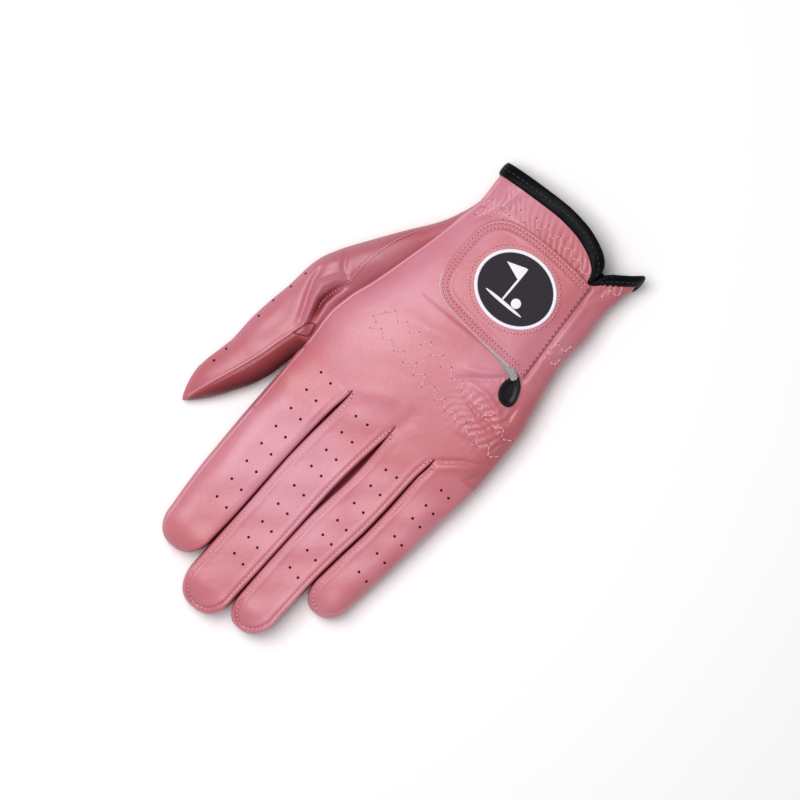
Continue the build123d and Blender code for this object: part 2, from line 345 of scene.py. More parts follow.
@dataclass(frozen=True)
class Thread:
    """Stitches: short rounded lengths of thread that dip into the leather at both ends."""

    length: float = 1.35
    pitch: float = 1.9
    radius: float = 0.24
    proud: float = 0.16
    around: int = 6

    def centres(self, path: Array) -> tuple[Array, Array]:
        """Middles and directions of the stitches along a path.

        Args:
            path: The seam's points as rows, in surface coordinates or in space.

        Returns:
            The middle of each stitch, and the path's direction there.
        """
        total = np.linalg.norm(np.diff(path, axis=0), axis=1).sum()
        count = max(1, int(total / self.pitch))
        points = resample(path, 2 * count + 1)
        return points[1::2], unit(points[2::2] - points[:-1:2])

    def lay(self, middles: Array, directions: Array, normals: Array, length: float | None = None) -> Array:
        """Places one stitch at each middle.

        Args:
            middles: Points on the leather.
            directions: Directions of the stitches.
            normals: Directions out of the leather.
            length: Length of a stitch, or None for the thread's own.

        Returns:
            Copies x vertices x 3. Along a stitch, x runs from -1 to 1, the radius is r * sqrt(1 - x^4) and
            the middle line is raised by proud * (1 - x^2).
        """
        half = (length or self.length) / 2
        x = np.array([-0.94, -0.6, 0.0, 0.6, 0.94])
        turn = np.linspace(0, 2 * np.pi, self.around, endpoint=False)
        radius = self.radius * np.sqrt(1 - x**4)
        ring = np.stack(
            [
                np.broadcast_to(x[:, None] * half, (5, self.around)),
                radius[:, None] * np.cos(turn),
                radius[:, None] * np.sin(turn) + self.proud * (1 - x[:, None] ** 2) - 0.05,
            ],
            axis=-1,
        ).reshape(-1, 3)
        shape = np.vstack([[-half, 0, -0.05], ring, [half, 0, -0.05]])
        side = unit(np.cross(normals, directions))
        axes = np.stack([directions, side, normals], axis=1)
        return middles[:, None, :] + np.einsum("vk,nkc->nvc", shape, axes)

    def sew(self, name: str, laid: Sequence[Array]) -> Piece:
        """Joins laid stitches into one object."""
        return joined(name, np.concatenate(laid), lathe_faces(5, self.around))


def domes(middles: Array, normals: Array, radius: float, crown: float) -> Array:
    """Small low domes, which read as punched holes when they are dark.

    Args:
        middles: Points on the leather.
        normals: Directions out of the leather.
        radius: Radius of a hole.
        crown: Height of its middle over the leather.

    Returns:
        Copies x vertices x 3: a middle, a ring at 0.75 of the radius and half the crown, a ring at the
        radius sunk by the crown, and a middle below.
    """
    turn = np.linspace(0, 2 * np.pi, DOME_SIDES, endpoint=False)
    rings = [
        np.stack([r * np.cos(turn), r * np.sin(turn), np.full(DOME_SIDES, h)], axis=-1)
        for r, h in ((0.75 * radius, 0.6 * crown), (radius, -crown), (0.6 * radius, -1.6 * crown))
    ]
    shape = np.vstack([[0, 0, crown], *rings, [0, 0, -1.8 * crown]])
    aside = unit(np.cross(normals, np.array([0.3, 1.0, 0.1])))
    axes = np.stack([aside, np.cross(normals, aside), normals], axis=1)
    return middles[:, None, :] + np.einsum("vk,nkc->nvc", shape, axes)


def punched(surface: Surface, spots: Array, radius: float, lift: float = 0.0, crown: float = 0.1) -> Array:
    """Holes at plan spots of a surface.

    Args:
        surface: The surface's points as a function of plan x and y.
        spots: Plan points as rows.
        radius: Radius of a hole.
        lift: Height of the holes' rims over the surface.
        crown: Height of a hole's middle.

    Returns:
        The holes' vertices, as domes gives them.
    """
    x, y = spots.T
    return domes(surface(x, y) + np.array([0, 0, lift]), surface_normals(surface, x, y), radius, crown)


def sweep(
    path: Array,
    up: Array,
    half_width: Array,
    half_height: Array,
    roundness: float,
    around: int = 14,
    closed: bool = False,
) -> Array:
    """A superelliptical section carried along a path.

    Args:
        path: Middle line, as rows.
        up: Direction out of the surface at each point.
        half_width: Half width of the section at each point, across the path and along the surface.
        half_height: Half height of the section at each point, along up.
        roundness: Exponent of the section: 2 is an ellipse, more is squarer.
        around: Points around the section.
        closed: Whether the path's end joins its start.

    Returns:
        A grid of points: path x around x 3.
    """
    ahead = np.roll(path, -1, axis=0) - np.roll(path, 1, axis=0)
    if not closed:
        ahead[0], ahead[-1] = path[1] - path[0], path[-1] - path[-2]
    side = unit(np.cross(unit(ahead), up))
    turn = np.linspace(0, 2 * np.pi, around, endpoint=False)
    c, s = np.cos(turn), np.sin(turn)
    reach = (np.abs(c) ** roundness + np.abs(s) ** roundness) ** (-1 / roundness)
    across = np.asarray(half_width)[..., None, None] * (reach * c)[None, :, None]
    high = np.asarray(half_height)[..., None, None] * (reach * s)[None, :, None]
    return path[:, None] + across * side[:, None] + high * up[:, None]


def inset(outline: Array, amount: float) -> Array:
    """A closed counter-clockwise outline moved inwards along the bisector of its two edges at each point."""
    edge = unit(np.roll(outline, -1, axis=0) - outline)
    inward = np.stack([-edge[:, 1], edge[:, 0]], axis=1)
    bisector = inward + np.roll(inward, 1, axis=0)
    scale = 2.0 / np.maximum(np.sum(bisector * bisector, axis=1, keepdims=True), 1.2)
    return outline + amount * bisector * scale


def outline_distance(points: Array, outline: Array, closed: bool = True) -> Array:
    """Distance of plan points from an outline.

    Args:
        points: Plan points as rows.
        outline: Corners of the outline as rows.
        closed: Whether the last corner is joined to the first.

    Returns:
        For each point, the least distance to any edge of the outline.
    """
    step = np.roll(outline, -1, axis=0) - outline
    if not closed:
        outline, step = outline[:-1], step[:-1]
    gap = points[:, None, :] - outline[None]
    t = np.clip(np.sum(gap * step, axis=2) / np.sum(step * step, axis=1), 0.0, 1.0)
    return np.linalg.norm(gap - t[..., None] * step, axis=2).min(axis=1)


@dataclass
class Pad:
    """A closed flat piece of a plan outline that follows the surface under it and has a rounded edge."""

    outline: Array
    base: Surface
    thick: float
    edge: float = 0.3
    foot: float = 0.0
    rings: int = 8
    crown: float = 0.0
    relief: Callable[[Array], Array] | None = None
    shade: Callable[[Array], Array] | None = None
    free: Array | None = None

    def distance(self, plan: Array) -> Array:
        """Distance in from the free part of the outline, or from all of it when no part is named."""
        if self.free is None:
            return outline_distance(plan, self.outline)
        return outline_distance(plan, self.free, closed=False)

    def build(self, name: str) -> Piece:
        """Makes the piece.

        Args:
            name: Object name.

        Returns:
            The new object. Its rows are rings: on the underside from the middle out, up the edge as a
            quarter circle, then over the top to the middle. The top's height is the base, the thickness, a
            crown of crown * (1 - share^2) and the relief at the distance from the outline.
        """
        rim, edge = self.outline, self.edge
        middle = rim.mean(axis=0)
        turn = np.radians([0.0, 22.0, 45.0, 68.0, 90.0])
        plans = [middle + (inset(rim, edge) - middle) * share for share in UNDERSIDE_RINGS]
        heights = [np.full(len(rim), self.foot) for _ in plans]
        for amount, height in zip(edge * (1 - np.cos(turn)), self.thick - edge * (1 - np.sin(turn))):
            plans.append(inset(rim, amount))
            heights.append(np.full(len(rim), max(height, self.foot + 0.02)))
        top = plans[-1]
        shares = np.linspace(1.0, 0.02, self.rings + 1)[1:]
        if self.relief is not None:
            close = np.linspace(1.0, TOP_SHARE, 22)[1:]
            shares = np.concatenate([close, np.linspace(TOP_SHARE, 0.02, self.rings + 1)[1:]])
        for share in shares:
            plan = middle + (top - middle) * share
            lift = self.thick + self.crown * (1 - share**2) * np.ones(len(rim))
            if self.relief is not None:
                lift = lift + self.relief(self.distance(plan))
            plans.append(plan)
            heights.append(lift)
        grid = np.stack([np.column_stack([p, self.base(p[:, 0], p[:, 1]) + h]) for p, h in zip(plans, heights)])
        tone = None
        if self.shade is not None:
            tone = np.stack([self.shade(self.distance(p)) for p in plans])
        return grid_mesh(name, grid, True, Winding.COLUMNS_FIRST, True, True, tone)


# ---------------------------------------------------------------- shaders
class Value:
    """A shader socket with arithmetic: each operator adds a Math node to the socket's tree."""

    def __init__(self, tree: "Tree", socket: bpy.types.NodeSocket | float) -> None:
        """Keeps the tree and the socket or number."""
        self.tree = tree
        self.socket = socket

    def _math(self, operation: str, *inputs: "Value | float") -> "Value":
        """One Math node of that operation."""
        return self.tree.node("ShaderNodeMath", {"operation": operation}, dict(enumerate(inputs)))

    def __add__(self, other: "Value | float") -> "Value":
        """Sum."""
        return self._math("ADD", self, other)

    __radd__ = __add__

    def __mul__(self, other: "Value | float") -> "Value":
        """Product."""
        return self._math("MULTIPLY", self, other)

    __rmul__ = __mul__

    def __sub__(self, other: "Value | float") -> "Value":
        """Difference."""
        return self._math("SUBTRACT", self, other)

    def __rsub__(self, other: "Value | float") -> "Value":
        """Difference from a number."""
        return self._math("SUBTRACT", other, self)

    def sine(self) -> "Value":
        """Sine, in radians."""
        return self._math("SINE", self)

    def between(self, low: float, high: float) -> "Value":
        """A smooth step from 0 at low to 1 at high."""
        settings = {"interpolation_type": "SMOOTHSTEP"}
        return self.tree.node("ShaderNodeMapRange", settings, {"Value": self, "From Min": low, "From Max": high})


@dataclass
class Tree:
    """One material's node tree."""

    name: str
    material: Material = field(init=False)

    def __post_init__(self) -> None:
        """Makes an empty material."""
        self.material = bpy.data.materials.new(self.name)
        self.material.use_nodes = True
        self.material.node_tree.nodes.clear()

    def node(
        self, kind: str, settings: dict[str, object], inputs: dict[str | int, object], output: str | int = 0
    ) -> Value:
        """Adds one node.

        Args:
            kind: The node's type.
            settings: Properties, which are set first.
            inputs: Values or links of its sockets, by name or number.
            output: The output to return.

        Returns:
            That output as a Value.
        """
        made = self.material.node_tree.nodes.new(kind)
        for key, setting in settings.items():
            setattr(made, key, setting)
        for key, given in inputs.items():
            socket = made.inputs[key]
            if isinstance(given, Value):
                self.material.node_tree.links.new(given.socket, socket)
            else:
                socket.default_value = given
        return Value(self, made.outputs[output])

    def place(self) -> Value:
        """The object's own coordinates, in metres."""
        return self.node("ShaderNodeTexCoord", {}, {}, "Object")

    def tone(self) -> Value:
        """The painted shade kept at the vertices."""
        return self.node("ShaderNodeAttribute", {"attribute_name": "tone"}, {}, "Fac")

    def noise(self, scale: float, detail: float = 3.0, rough: float = 0.5) -> Value:
        """Noise in the object's coordinates."""
        inputs = {"Vector": self.place(), "Scale": scale, "Detail": detail, "Roughness": rough}
        return self.node("ShaderNodeTexNoise", {}, inputs)

    def cells(self, scale: float) -> Value:
        """Distance to the nearest cell point in the object's coordinates."""
        return self.node("ShaderNodeTexVoronoi", {}, {"Vector": self.place(), "Scale": scale})

    def mix(self, share: Value | float, a: object, b: object) -> Value:
        """A colour between two colours."""
        inputs = {0: share, 6: self.colour(a), 7: self.colour(b)}
        return self.node("ShaderNodeMix", {"data_type": "RGBA"}, inputs, 2)

    @staticmethod
    def colour(given: object) -> object:
        """A colour with its alpha, or a link as it is."""
        return given if isinstance(given, Value) else (*given, 1.0)

    def bump(self, height: Value, distance: float, strength: float = 1.0, normal: Value | None = None) -> Value:
        """A Bump node over a height from 0 to 1."""
        inputs: dict[str | int, object] = {"Height": height, "Distance": distance, "Strength": strength}
        if normal is not None:
            inputs["Normal"] = normal
        return self.node("ShaderNodeBump", {}, inputs)

    def finish(self, **sockets: object) -> Material:
        """Adds the Principled shader with those sockets, named with underscores, and the output."""
        inputs = {key.replace("_", " "): given for key, given in sockets.items()}
        shader = self.node("ShaderNodeBsdfPrincipled", {}, inputs)
        out = self.material.node_tree.nodes.new("ShaderNodeOutputMaterial")
        self.material.node_tree.links.new(shader.socket, out.inputs["Surface"])
        return self.material


@dataclass(frozen=True)
class Leather:
    """Thin glove leather: a soft grain, faint stretch lines, cloudy dye, a low sheen and painted shade from its
    vertices.
    """

    name: str
    dye: Triple
    deep: Triple
    grain: float = 1.0

    def make(self) -> Material:
        """Builds the material.

        Returns:
            A material whose colour drifts between a warm and a cool dye in soft clouds. As the painted shade kept
            at the vertices grows it turns to the deep shade at 0.6 and to shadow at 1. Cells and noise give the
            grain, and a broad noise the soft wrinkles.
        """
        t = Tree(self.name)
        warm = tuple(c * k for c, k in zip(self.dye, (0.96, 0.78, 0.76)))
        cool = tuple(min(1.0, c * k) for c, k in zip(self.dye, (1.05, 1.12, 1.2)))
        clouds = t.noise(24.0, 3.0).between(0.38, 0.66)
        # Painted shade: the vertices' value darkens the clouded dye to the deep colour, then towards shadow.
        shade = t.mix(t.tone() * 1.667, t.mix(clouds, warm, cool), self.deep)
        shadow = tuple(0.16 * c for c in self.deep)
        colour = t.mix((t.tone() - 0.6) * 2.5, shade, shadow)
        fine = t.noise(900.0, 2.0)
        grain = t.cells(1500.0) * 0.6 + t.noise(620.0, 3.0, 0.6) * 0.5
        wrinkles = t.noise(95.0, 4.0, 0.55)
        soft = t.bump(wrinkles, 0.0009, 0.34 * self.grain)
        bumped = t.bump(grain, 0.00012, 0.38 * self.grain, soft)
        rough = 0.33 + fine * 0.12 + wrinkles * 0.08
        return t.finish(Base_Color=colour, Roughness=rough, Normal=bumped, Specular_IOR_Level=0.55)


@dataclass(frozen=True)
class Yarn:
    """Sewing thread: twisted fibres with a silky sheen."""

    name: str
    dye: Triple
    shade: Triple

    def make(self) -> Material:
        """Builds the material, whose colour and bump vary with a fine fibre noise."""
        t = Tree(self.name)
        fibres = t.noise(2600.0, 2.0)
        colour = t.mix(fibres.between(0.3, 0.7), self.shade, self.dye)
        bumped = t.bump(fibres, 0.00012, 0.6)
        return t.finish(Base_Color=colour, Roughness=0.45 + fibres * 0.2, Normal=bumped, Sheen_Weight=0.25)


@dataclass(frozen=True)
class SatinTape:
    """Woven satin tape: fine ribs that follow the tape, with a grey sheen painted onto black."""

    name: str
    dye: Triple
    glint: Triple

    def make(self) -> Material:
        """Builds the material: diagonal ribs of a sine in the object's coordinates over a soft noise, and a painted
        sheen of the glint colour in the noise's clouds.
        """
        t = Tree(self.name)
        along = t.node("ShaderNodeSeparateXYZ", {}, {0: t.place()})
        across = Value(t, along.socket.node.outputs[1])
        ribs = ((along * 0.8 + across) * 9000.0).sine() * 0.5 + 0.5
        cloud = t.noise(160.0, 4.0)
        # Painted sheen: the glint colour is laid on in soft clouds and faintly along the ribs.
        colour = t.mix(cloud.between(0.35, 0.8) * 0.6 + ribs * 0.15, self.dye, self.glint)
        bumped = t.bump(ribs * 0.5 + t.noise(700.0, 3.0) * 0.8, 0.0002, 0.5)
        return t.finish(Base_Color=colour, Roughness=0.28 + cloud * 0.16, Normal=bumped, Specular_IOR_Level=0.07)


@dataclass(frozen=True)
class Pile:
    """Fuzzy fabric: hook or loop tape, raw lining edges and embroidery, told apart by scale and depth."""

    name: str
    dye: Triple
    shade: Triple
    scale: float = 900.0
    depth: float = 0.0005
    sheen: float = 0.4

    def make(self) -> Material:
        """Builds the material: rounded cells over noise for the loops, in two shades."""
        t = Tree(self.name)
        loops = t.cells(self.scale).between(0.0, 0.75)
        fuzz = t.noise(self.scale * 1.7, 3.0)
        colour = t.mix(loops * 0.65 + fuzz * 0.3, self.dye, self.shade)
        bumped = t.bump(1.0 - loops + fuzz * 0.5, self.depth, 0.8)
        return t.finish(Base_Color=colour, Roughness=0.8 + fuzz * 0.15, Normal=bumped, Sheen_Weight=self.sheen)


@dataclass(frozen=True)
class SoftRubber:
    """Moulded black rubber with a dull gloss and fine dust."""

    name: str
    dye: Triple
    dust: Triple

    def make(self) -> Material:
        """Builds the material: noise breaks up its gloss."""
        t = Tree(self.name)
        smears = t.noise(300.0, 5.0)
        colour = t.mix(smears.between(0.5, 0.85) * 0.7, self.dye, self.dust)
        bumped = t.bump(t.noise(1500.0, 2.0), 0.0001, 0.4)
        return t.finish(Base_Color=colour, Roughness=0.3 + smears * 0.25, Normal=bumped, Specular_IOR_Level=0.24)


@dataclass(frozen=True)
class Punched:
    """The inside of a hole through the leather, coloured dark as painted shade: no gloss."""

    name: str
    dye: Triple
    shade: Triple

    def make(self) -> Material:
        """Builds the material, whose colour follows a fine noise of cut fibres."""
        t = Tree(self.name)
        fibres = t.noise(3000.0, 2.0)
        colour = t.mix(fibres.between(0.35, 0.7), self.shade, self.dye)
        return t.finish(Base_Color=colour, Roughness=0.85 + fibres * 0.1, Specular_IOR_Level=0.05)


class Finish(Protocol):
    """Anything that builds one material."""

    def make(self) -> Material:
        """Builds the material."""


def made(finish: Finish) -> Material:
    """A dataclass field that holds the finish's material, built when the owner is."""
    return field(default_factory=finish.make)


@dataclass
class Finishes:
    """Every finish of the glove, each made once."""

    leather: Material = made(Leather("rose_leather", (0.56, 0.190, 0.232), (0.31, 0.038, 0.047)))
    palm: Material = made(Leather("rose_palm_leather", (0.54, 0.165, 0.205), (0.24, 0.03, 0.038), grain=1.3))
    # The corded seams' paler dye is a painted highlight along their ridges.
    highlit_piping: Material = made(Leather("pale_seam_leather", (0.62, 0.25, 0.29), (0.40, 0.10, 0.13), grain=0.7))
    thread: Material = made(Yarn("pale_pink_thread", (0.80, 0.47, 0.49), (0.66, 0.31, 0.34)))
    red_thread: Material = made(Yarn("dark_red_thread", (0.30, 0.03, 0.04), (0.14, 0.01, 0.015)))
    black_thread: Material = made(Yarn("black_thread", (0.03, 0.03, 0.035), (0.008, 0.008, 0.01)))
    # Holes are dark domes: their colour is painted shade of the glove's inside.
    hole: Material = made(Punched("punched_hole", (0.095, 0.012, 0.020), (0.035, 0.005, 0.008)))
    tape: Material = made(SatinTape("black_satin_tape", (0.002, 0.002, 0.003), (0.012, 0.013, 0.016)))
    rubber: Material = made(SoftRubber("black_rubber", (0.005, 0.004, 0.005), (0.022, 0.020, 0.022)))
    hook: Material = made(Pile("grey_hook_tape", (0.50, 0.50, 0.53), (0.22, 0.22, 0.24), scale=1100.0))
    loop: Material = made(Pile("grey_loop_pile", (0.42, 0.42, 0.44), (0.24, 0.24, 0.26), scale=800.0))
    lining: Material = made(Pile("cream_lining", (0.80, 0.70, 0.58), (0.62, 0.50, 0.40), scale=1500.0, depth=0.0002))
    badge: Material = made(
        Pile("black_badge_cloth", (0.010, 0.008, 0.012), (0.024, 0.020, 0.027), scale=2600.0, depth=0.00012, sheen=0.06)
    )
    border: Material = made(
        Pile("white_badge_border", (0.95, 0.92, 0.98), (0.80, 0.77, 0.86), scale=2200.0, depth=0.00008, sheen=0.1)
    )
    elastic: Material = made(Pile("pale_elastic", (0.72, 0.45, 0.48), (0.5, 0.28, 0.3), scale=1300.0, depth=0.0003))

    def punch(self, name: str, marks: Array) -> Piece:
        """Holes as one piece, coloured dark as painted shade of their insides."""
        return dress(joined(name, marks, lathe_faces(DOME_RINGS, DOME_SIDES)), self.hole)


def dress(piece: Piece, material: Material) -> Piece:
    """Gives a piece its one material."""
    piece.data.materials.clear()
    piece.data.materials.append(material)
    return piece


# ---------------------------------------------------------------- the hand
@dataclass(frozen=True)
class HandShape:
    """The hand's form: a superelliptical section that changes from the wrist to the fork of the fingers."""

    little_side: Stations = Stations(
        ((-8, -37.5), (2, -38.0), (9, -36.6), (20, -35.2), (33, -36.0), (45, -35.2), (56, -36.3), (68, -38.6),
         (80, -40.8), (95, -41.2), (108, -41.0), (120, -40.0), (140, -38.6))
    )
    thumb_side: Stations = Stations(
        ((-8, 34.6), (2, 34.5), (14, 34.0), (25, 36.0), (40, 39.2), (55, 43.0), (70, 47.0), (80, 50.4), (92, 52.4),
         (105, 51.8), (120, 51.9), (140, 52.2))
    )
    thickness: Stations = Stations(
        ((-8, 19.6), (0, 20.0), (22, 22.5), (45, 24.4), (68, 25.0), (92, 24.0), (116, 20.8), (140, 19.6))
    )
    roundness: float = 2.5
    sink: float = 0.8

    def middle(self, y: Array) -> Array:
        """x of the section's middle."""
        return (self.little_side(y) + self.thumb_side(y)) / 2

    def half_width(self, y: Array) -> Array:
        """Half the section's width."""
        return (self.thumb_side(y) - self.little_side(y)) / 2

    def lift(self, x: Array, y: Array) -> Array:
        """Share of the half thickness that the back reaches at x: (1 - share^n)^(1/n)."""
        share = np.clip(np.abs(x - self.middle(y)) / self.half_width(y), 0.0, 1.0)
        return (1 - share**self.roundness) ** (1 / self.roundness)

    def height(self, x: Array, y: Array) -> Array:
        """Height of the smooth back of the hand, without folds."""
        half = self.thickness(y) / 2
        return half - self.sink + half * self.lift(x, y)


@dataclass(frozen=True)
class BackRelief:
    """Folds, puckers and pressed-in seams of the back of the hand, as a height in millimetres."""

    hand: HandShape
    folds: tuple[Crease, ...] = (
        Crease(((-20, 110.5), (-28.5, 103.4), (-37, 98.6)), -1.3, 0.9),
        Crease(((-22, 112.5), (-29, 106.2), (-37, 101.5)), 0.8, 1.6),
        Crease(((-35, 108.5), (-38, 104), (-40.5, 99)), -1.0, 0.8),
        Crease(((-6, 77.5), (-14, 71.5), (-22, 64)), -1.1, 0.9),
        Crease(((-4, 73.5), (-12, 69.5), (-20, 64)), 0.7, 1.4),
        Crease(((-30, 82), (-32.8, 78), (-32, 70)), -1.1, 0.8),
        Crease(((-33, 84), (-36, 78), (-36.5, 70)), 0.8, 1.3),
        Crease(((-12, 76), (-19, 75.5), (-27, 77.5), (-33, 83)), 0.9, 1.2),
        Crease(((-14, 82.5), (-21, 84), (-28, 83), (-34, 86)), -1.0, 0.8),
        Crease(((-17, 88), (-24, 87), (-30, 88.5), (-36, 86)), 0.8, 1.1),
        Crease(((-20, 96), (-28, 94.5), (-36, 95.5)), -0.6, 1.2),
        Crease(((24, 110), (14, 103), (5, 100)), 0.5, 3.5),
        Crease(((1, 113), (-2, 104), (-1, 97)), -0.55, 3.0),
        Crease(((44, 62), (38, 52), (36, 40)), -0.9, 2.6),
        Crease(((30, 72), (16, 70), (2, 66)), 0.45, 3.0),
        Crease(((28, 98), (18, 92), (6, 92)), -0.4, 4.0),
        Crease(((31, 24), (26, 14), (24, 3)), -1.1, 1.0),
        Crease(((28.5, 22), (23, 12), (21, 3)), 0.6, 1.0),
        Crease(((33, 22), (30, 12), (29, 3)), 0.7, 1.1),
        Crease(((33.5, 18), (32, 11), (32, 4)), -0.7, 0.8),
        Crease(((-26, 22), (-27.5, 15), (-30, 9)), -0.8, 1.0),
        Crease(((-29, 20), (-31, 14), (-34, 9)), 0.6, 1.1),
        Crease(((-31, 16.5), (-34, 12), (-36.5, 7)), -0.6, 0.8),
        Crease(((-28, 52), (-31, 47), (-33, 43)), -0.5, 0.9),
        Crease(((-27, 46), (-30, 42), (-33.5, 37)), -0.5, 0.9),
        Crease(((-27.5, 49), (-31, 44.5), (-34.5, 40)), 0.45, 1.0),
    )

    def puckers(self, x: Array, y: Array) -> Array:
        """Shirring over the elastic.

        Returns:
            Three bands of rounded ridges across the elastic, |sin| of x warped by slow waves of y, which
            grow towards the little finger over the knuckles and towards both sides at the wrist.
        """
        warp = x - 0.45 * y + 1.0 * np.sin(y / 3.1 + 0.7) + 0.7 * np.sin(y / 1.7 + x / 4.3)
        ridge = np.abs(np.sin(np.pi * warp / 3.5)) - 0.64
        middle = 82.5 + 4.5 * np.clip(-x / 40, -0.4, 1.0)
        knuckles = bell(y - middle, 8.0) * ease((-2 - x) / 26)
        warp = x + 0.55 * y + 0.8 * np.sin(y / 2.2 + x / 7.0) + 0.5 * np.sin(y / 1.3 + x / 3.0)
        small = np.abs(np.sin(np.pi * warp / 2.9 + 0.4)) - 0.64
        wrist = bell(y - 9.0, 5.4) * (0.62 + 0.38 * ease((np.abs(x - 2) - 10) / 18))
        strip = bell(y - 45, 5.0) * ease((-24 - x) / 8)
        turned = np.abs(np.sin(np.pi * (y + 0.4 * np.sin(x / 2)) / 3.3)) - 0.64
        uneven = 0.72 + 0.28 * np.sin(x / 3.7 + y / 2.3) * np.sin(y / 3.1 - x / 6.1) + 0.2 * np.sin(x / 1.9 - y / 2.9)
        return uneven * (1.5 * ridge * knuckles + 1.2 * small * wrist + 1.0 * turned * strip)

    def __call__(self, x: Array, y: Array) -> Array:
        """Relief at those points, faded towards the sides of the hand."""
        share = np.clip(np.abs(x - self.hand.middle(y)) / self.hand.half_width(y), 0.0, 1.0)
        total = self.puckers(x, y)
        for fold in self.folds:
            total = total + fold(x, y)
        seam = -24.9 - 1.3 * (y - 37) / 24
        beside = ease((y - 12) / 4) * ease((64 - y) / 4)
        total = total + beside * (0.75 * bell(x - seam + 3.2, 1.6) - 0.9 * bell(x - seam + 0.6, 0.7))
        total = total - 1.3 * bell(x + 23.2, 0.55) * ease((y - 16) / 4) * ease((58 - y) / 4)
        drift = 0.30 * np.sin(x / 9.0 + y / 17.0) * np.sin(y / 13.0 - x / 21.0)
        under_tab = ease((x + 24.6) / 1.2) * ease((28.6 - x) / 1.5) * ease((y - 12.2) / 2.0) * ease((61.5 - y) / 1.5)
        return (total + drift) * (1 - share**10) * (1 - under_tab) - 0.25 * under_tab


HAND = HandShape()
RELIEF = BackRelief(HAND)


def back_point(x: Array, y: Array) -> Array:
    """Points of the finished back of the hand."""
    return np.stack([x + 0 * y, y + 0 * x, HAND.height(x, y) + RELIEF(x, y)], axis=-1)


@dataclass
class HandSkin:
    """The leather of the hand, from the wrist edge to the fork of the fingers, with its inner face."""

    finishes: Finishes
    rows: int = 170
    around: int = 300
    wall: float = 0.8
    back_edge: Stations = Stations(
        ((-41, -3.0), (-37.2, -0.6), (-35.2, 1.0), (-31, 4.6), (-27.2, 8.4), (-24.1, 13.0), (-23.4, 13.0), (-22.2, 8.2),
         (-19, 4.4), (-13, 1.0), (-5, -1.4), (5, -2.4), (20, -1.8), (34.4, -0.8))
    )
    palm_edge: Stations = Stations(
        ((-41, -1.0), (-36, 2.0), (-31, 5.6), (-26, 9.0), (-20, 6.6), (-13, 3.2), (-5, 1.0), (5, 0.3), (20, 0.3),
         (34.5, -0.8))
    )

    def ring(self, turn: Array, y: Array) -> Array:
        """Points of the smooth form at angles round it. y runs along it, broadcast with the angles."""
        n = HAND.roundness
        c, s = np.cos(turn), np.sin(turn)
        reach = (np.abs(c) ** n + np.abs(s) ** n) ** (-1 / n)
        half = HAND.thickness(y) / 2
        x = HAND.middle(y) + HAND.half_width(y) * reach * c
        z = half - HAND.sink + half * reach * s
        return np.stack([x, y + 0 * x, np.maximum(z, TABLE)], axis=-1)

    def edge(self, turn: Array) -> Array:
        """y of the wrist edge round the form: the back's edge above, the palm's below and a blend between."""
        x = self.ring(turn, np.zeros_like(turn))[..., 0]
        upper = ease((np.sin(turn) + 0.25) / 0.5)
        return upper * self.back_edge(x) + (1 - upper) * self.palm_edge(x)

    def grid(self, inward: float, rows: int, around: int) -> Array:
        """The skin's points.

        Args:
            inward: How far inside the outer face they lie.
            rows: Rows from the wrist to the fork.
            around: Points around.

        Returns:
            rows x around x 3: each row is the section's superellipse at y between the wrist edge and the fork,
            with the back's relief added to its upper half.
        """
        turn = np.linspace(0, 2 * np.pi, around, endpoint=False)
        share = np.linspace(0, 1, rows)[:, None] ** 0.92
        start = self.edge(turn)[None]
        y = start + (FORK_Y + OVERLAP - start) * share
        points = self.ring(turn[None] + 0 * y, y)
        upper = ease(np.sin(turn)[None] / 0.18)
        points[..., 2] += upper * RELIEF(points[..., 0], points[..., 1])
        if inward:
            middle = np.stack([HAND.middle(y), y, HAND.thickness(y) / 2 - HAND.sink], axis=-1)
            points = points - unit(points - middle) * inward
        return points

    def build(self) -> None:
        """Makes the outer and the inner face."""
        outer = self.grid(0.0, self.rows, self.around)
        turn = np.linspace(0, 2 * np.pi, self.around, endpoint=False)
        # Painted shade: darker underneath, deep along the slit and towards the little finger's side of the hand.
        under = ease(-np.sin(turn) / 0.4)[None] * np.ones((self.rows, 1))
        x, y = outer[..., 0], outer[..., 1]
        slit = bell(x + 23.2, 0.6) * ease((y - 14) / 3) * ease((60 - y) / 3) * (np.sin(turn) > 0)[None]
        rim = 0.22 * ease((-30.0 - x) / 7.0)
        skin = grid_mesh("hand_leather", outer, True, tone=np.maximum.reduce([0.2 * under, 0.85 * slit, rim]))
        dress(skin, self.finishes.leather)
        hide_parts("back_panel", "palm_panel", "slit_trim", "tab_seam_welt")
        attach(skin, "hand")
        inner = grid_mesh("hand_inner_face", self.grid(self.wall, 60, 120), True, Winding.COLUMNS_FIRST)
        dress(inner, self.finishes.palm)
        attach(inner, "hand")
        LOG.info("hand leather: %d faces outside, %d inside", len(skin.data.polygons), len(inner.data.polygons))


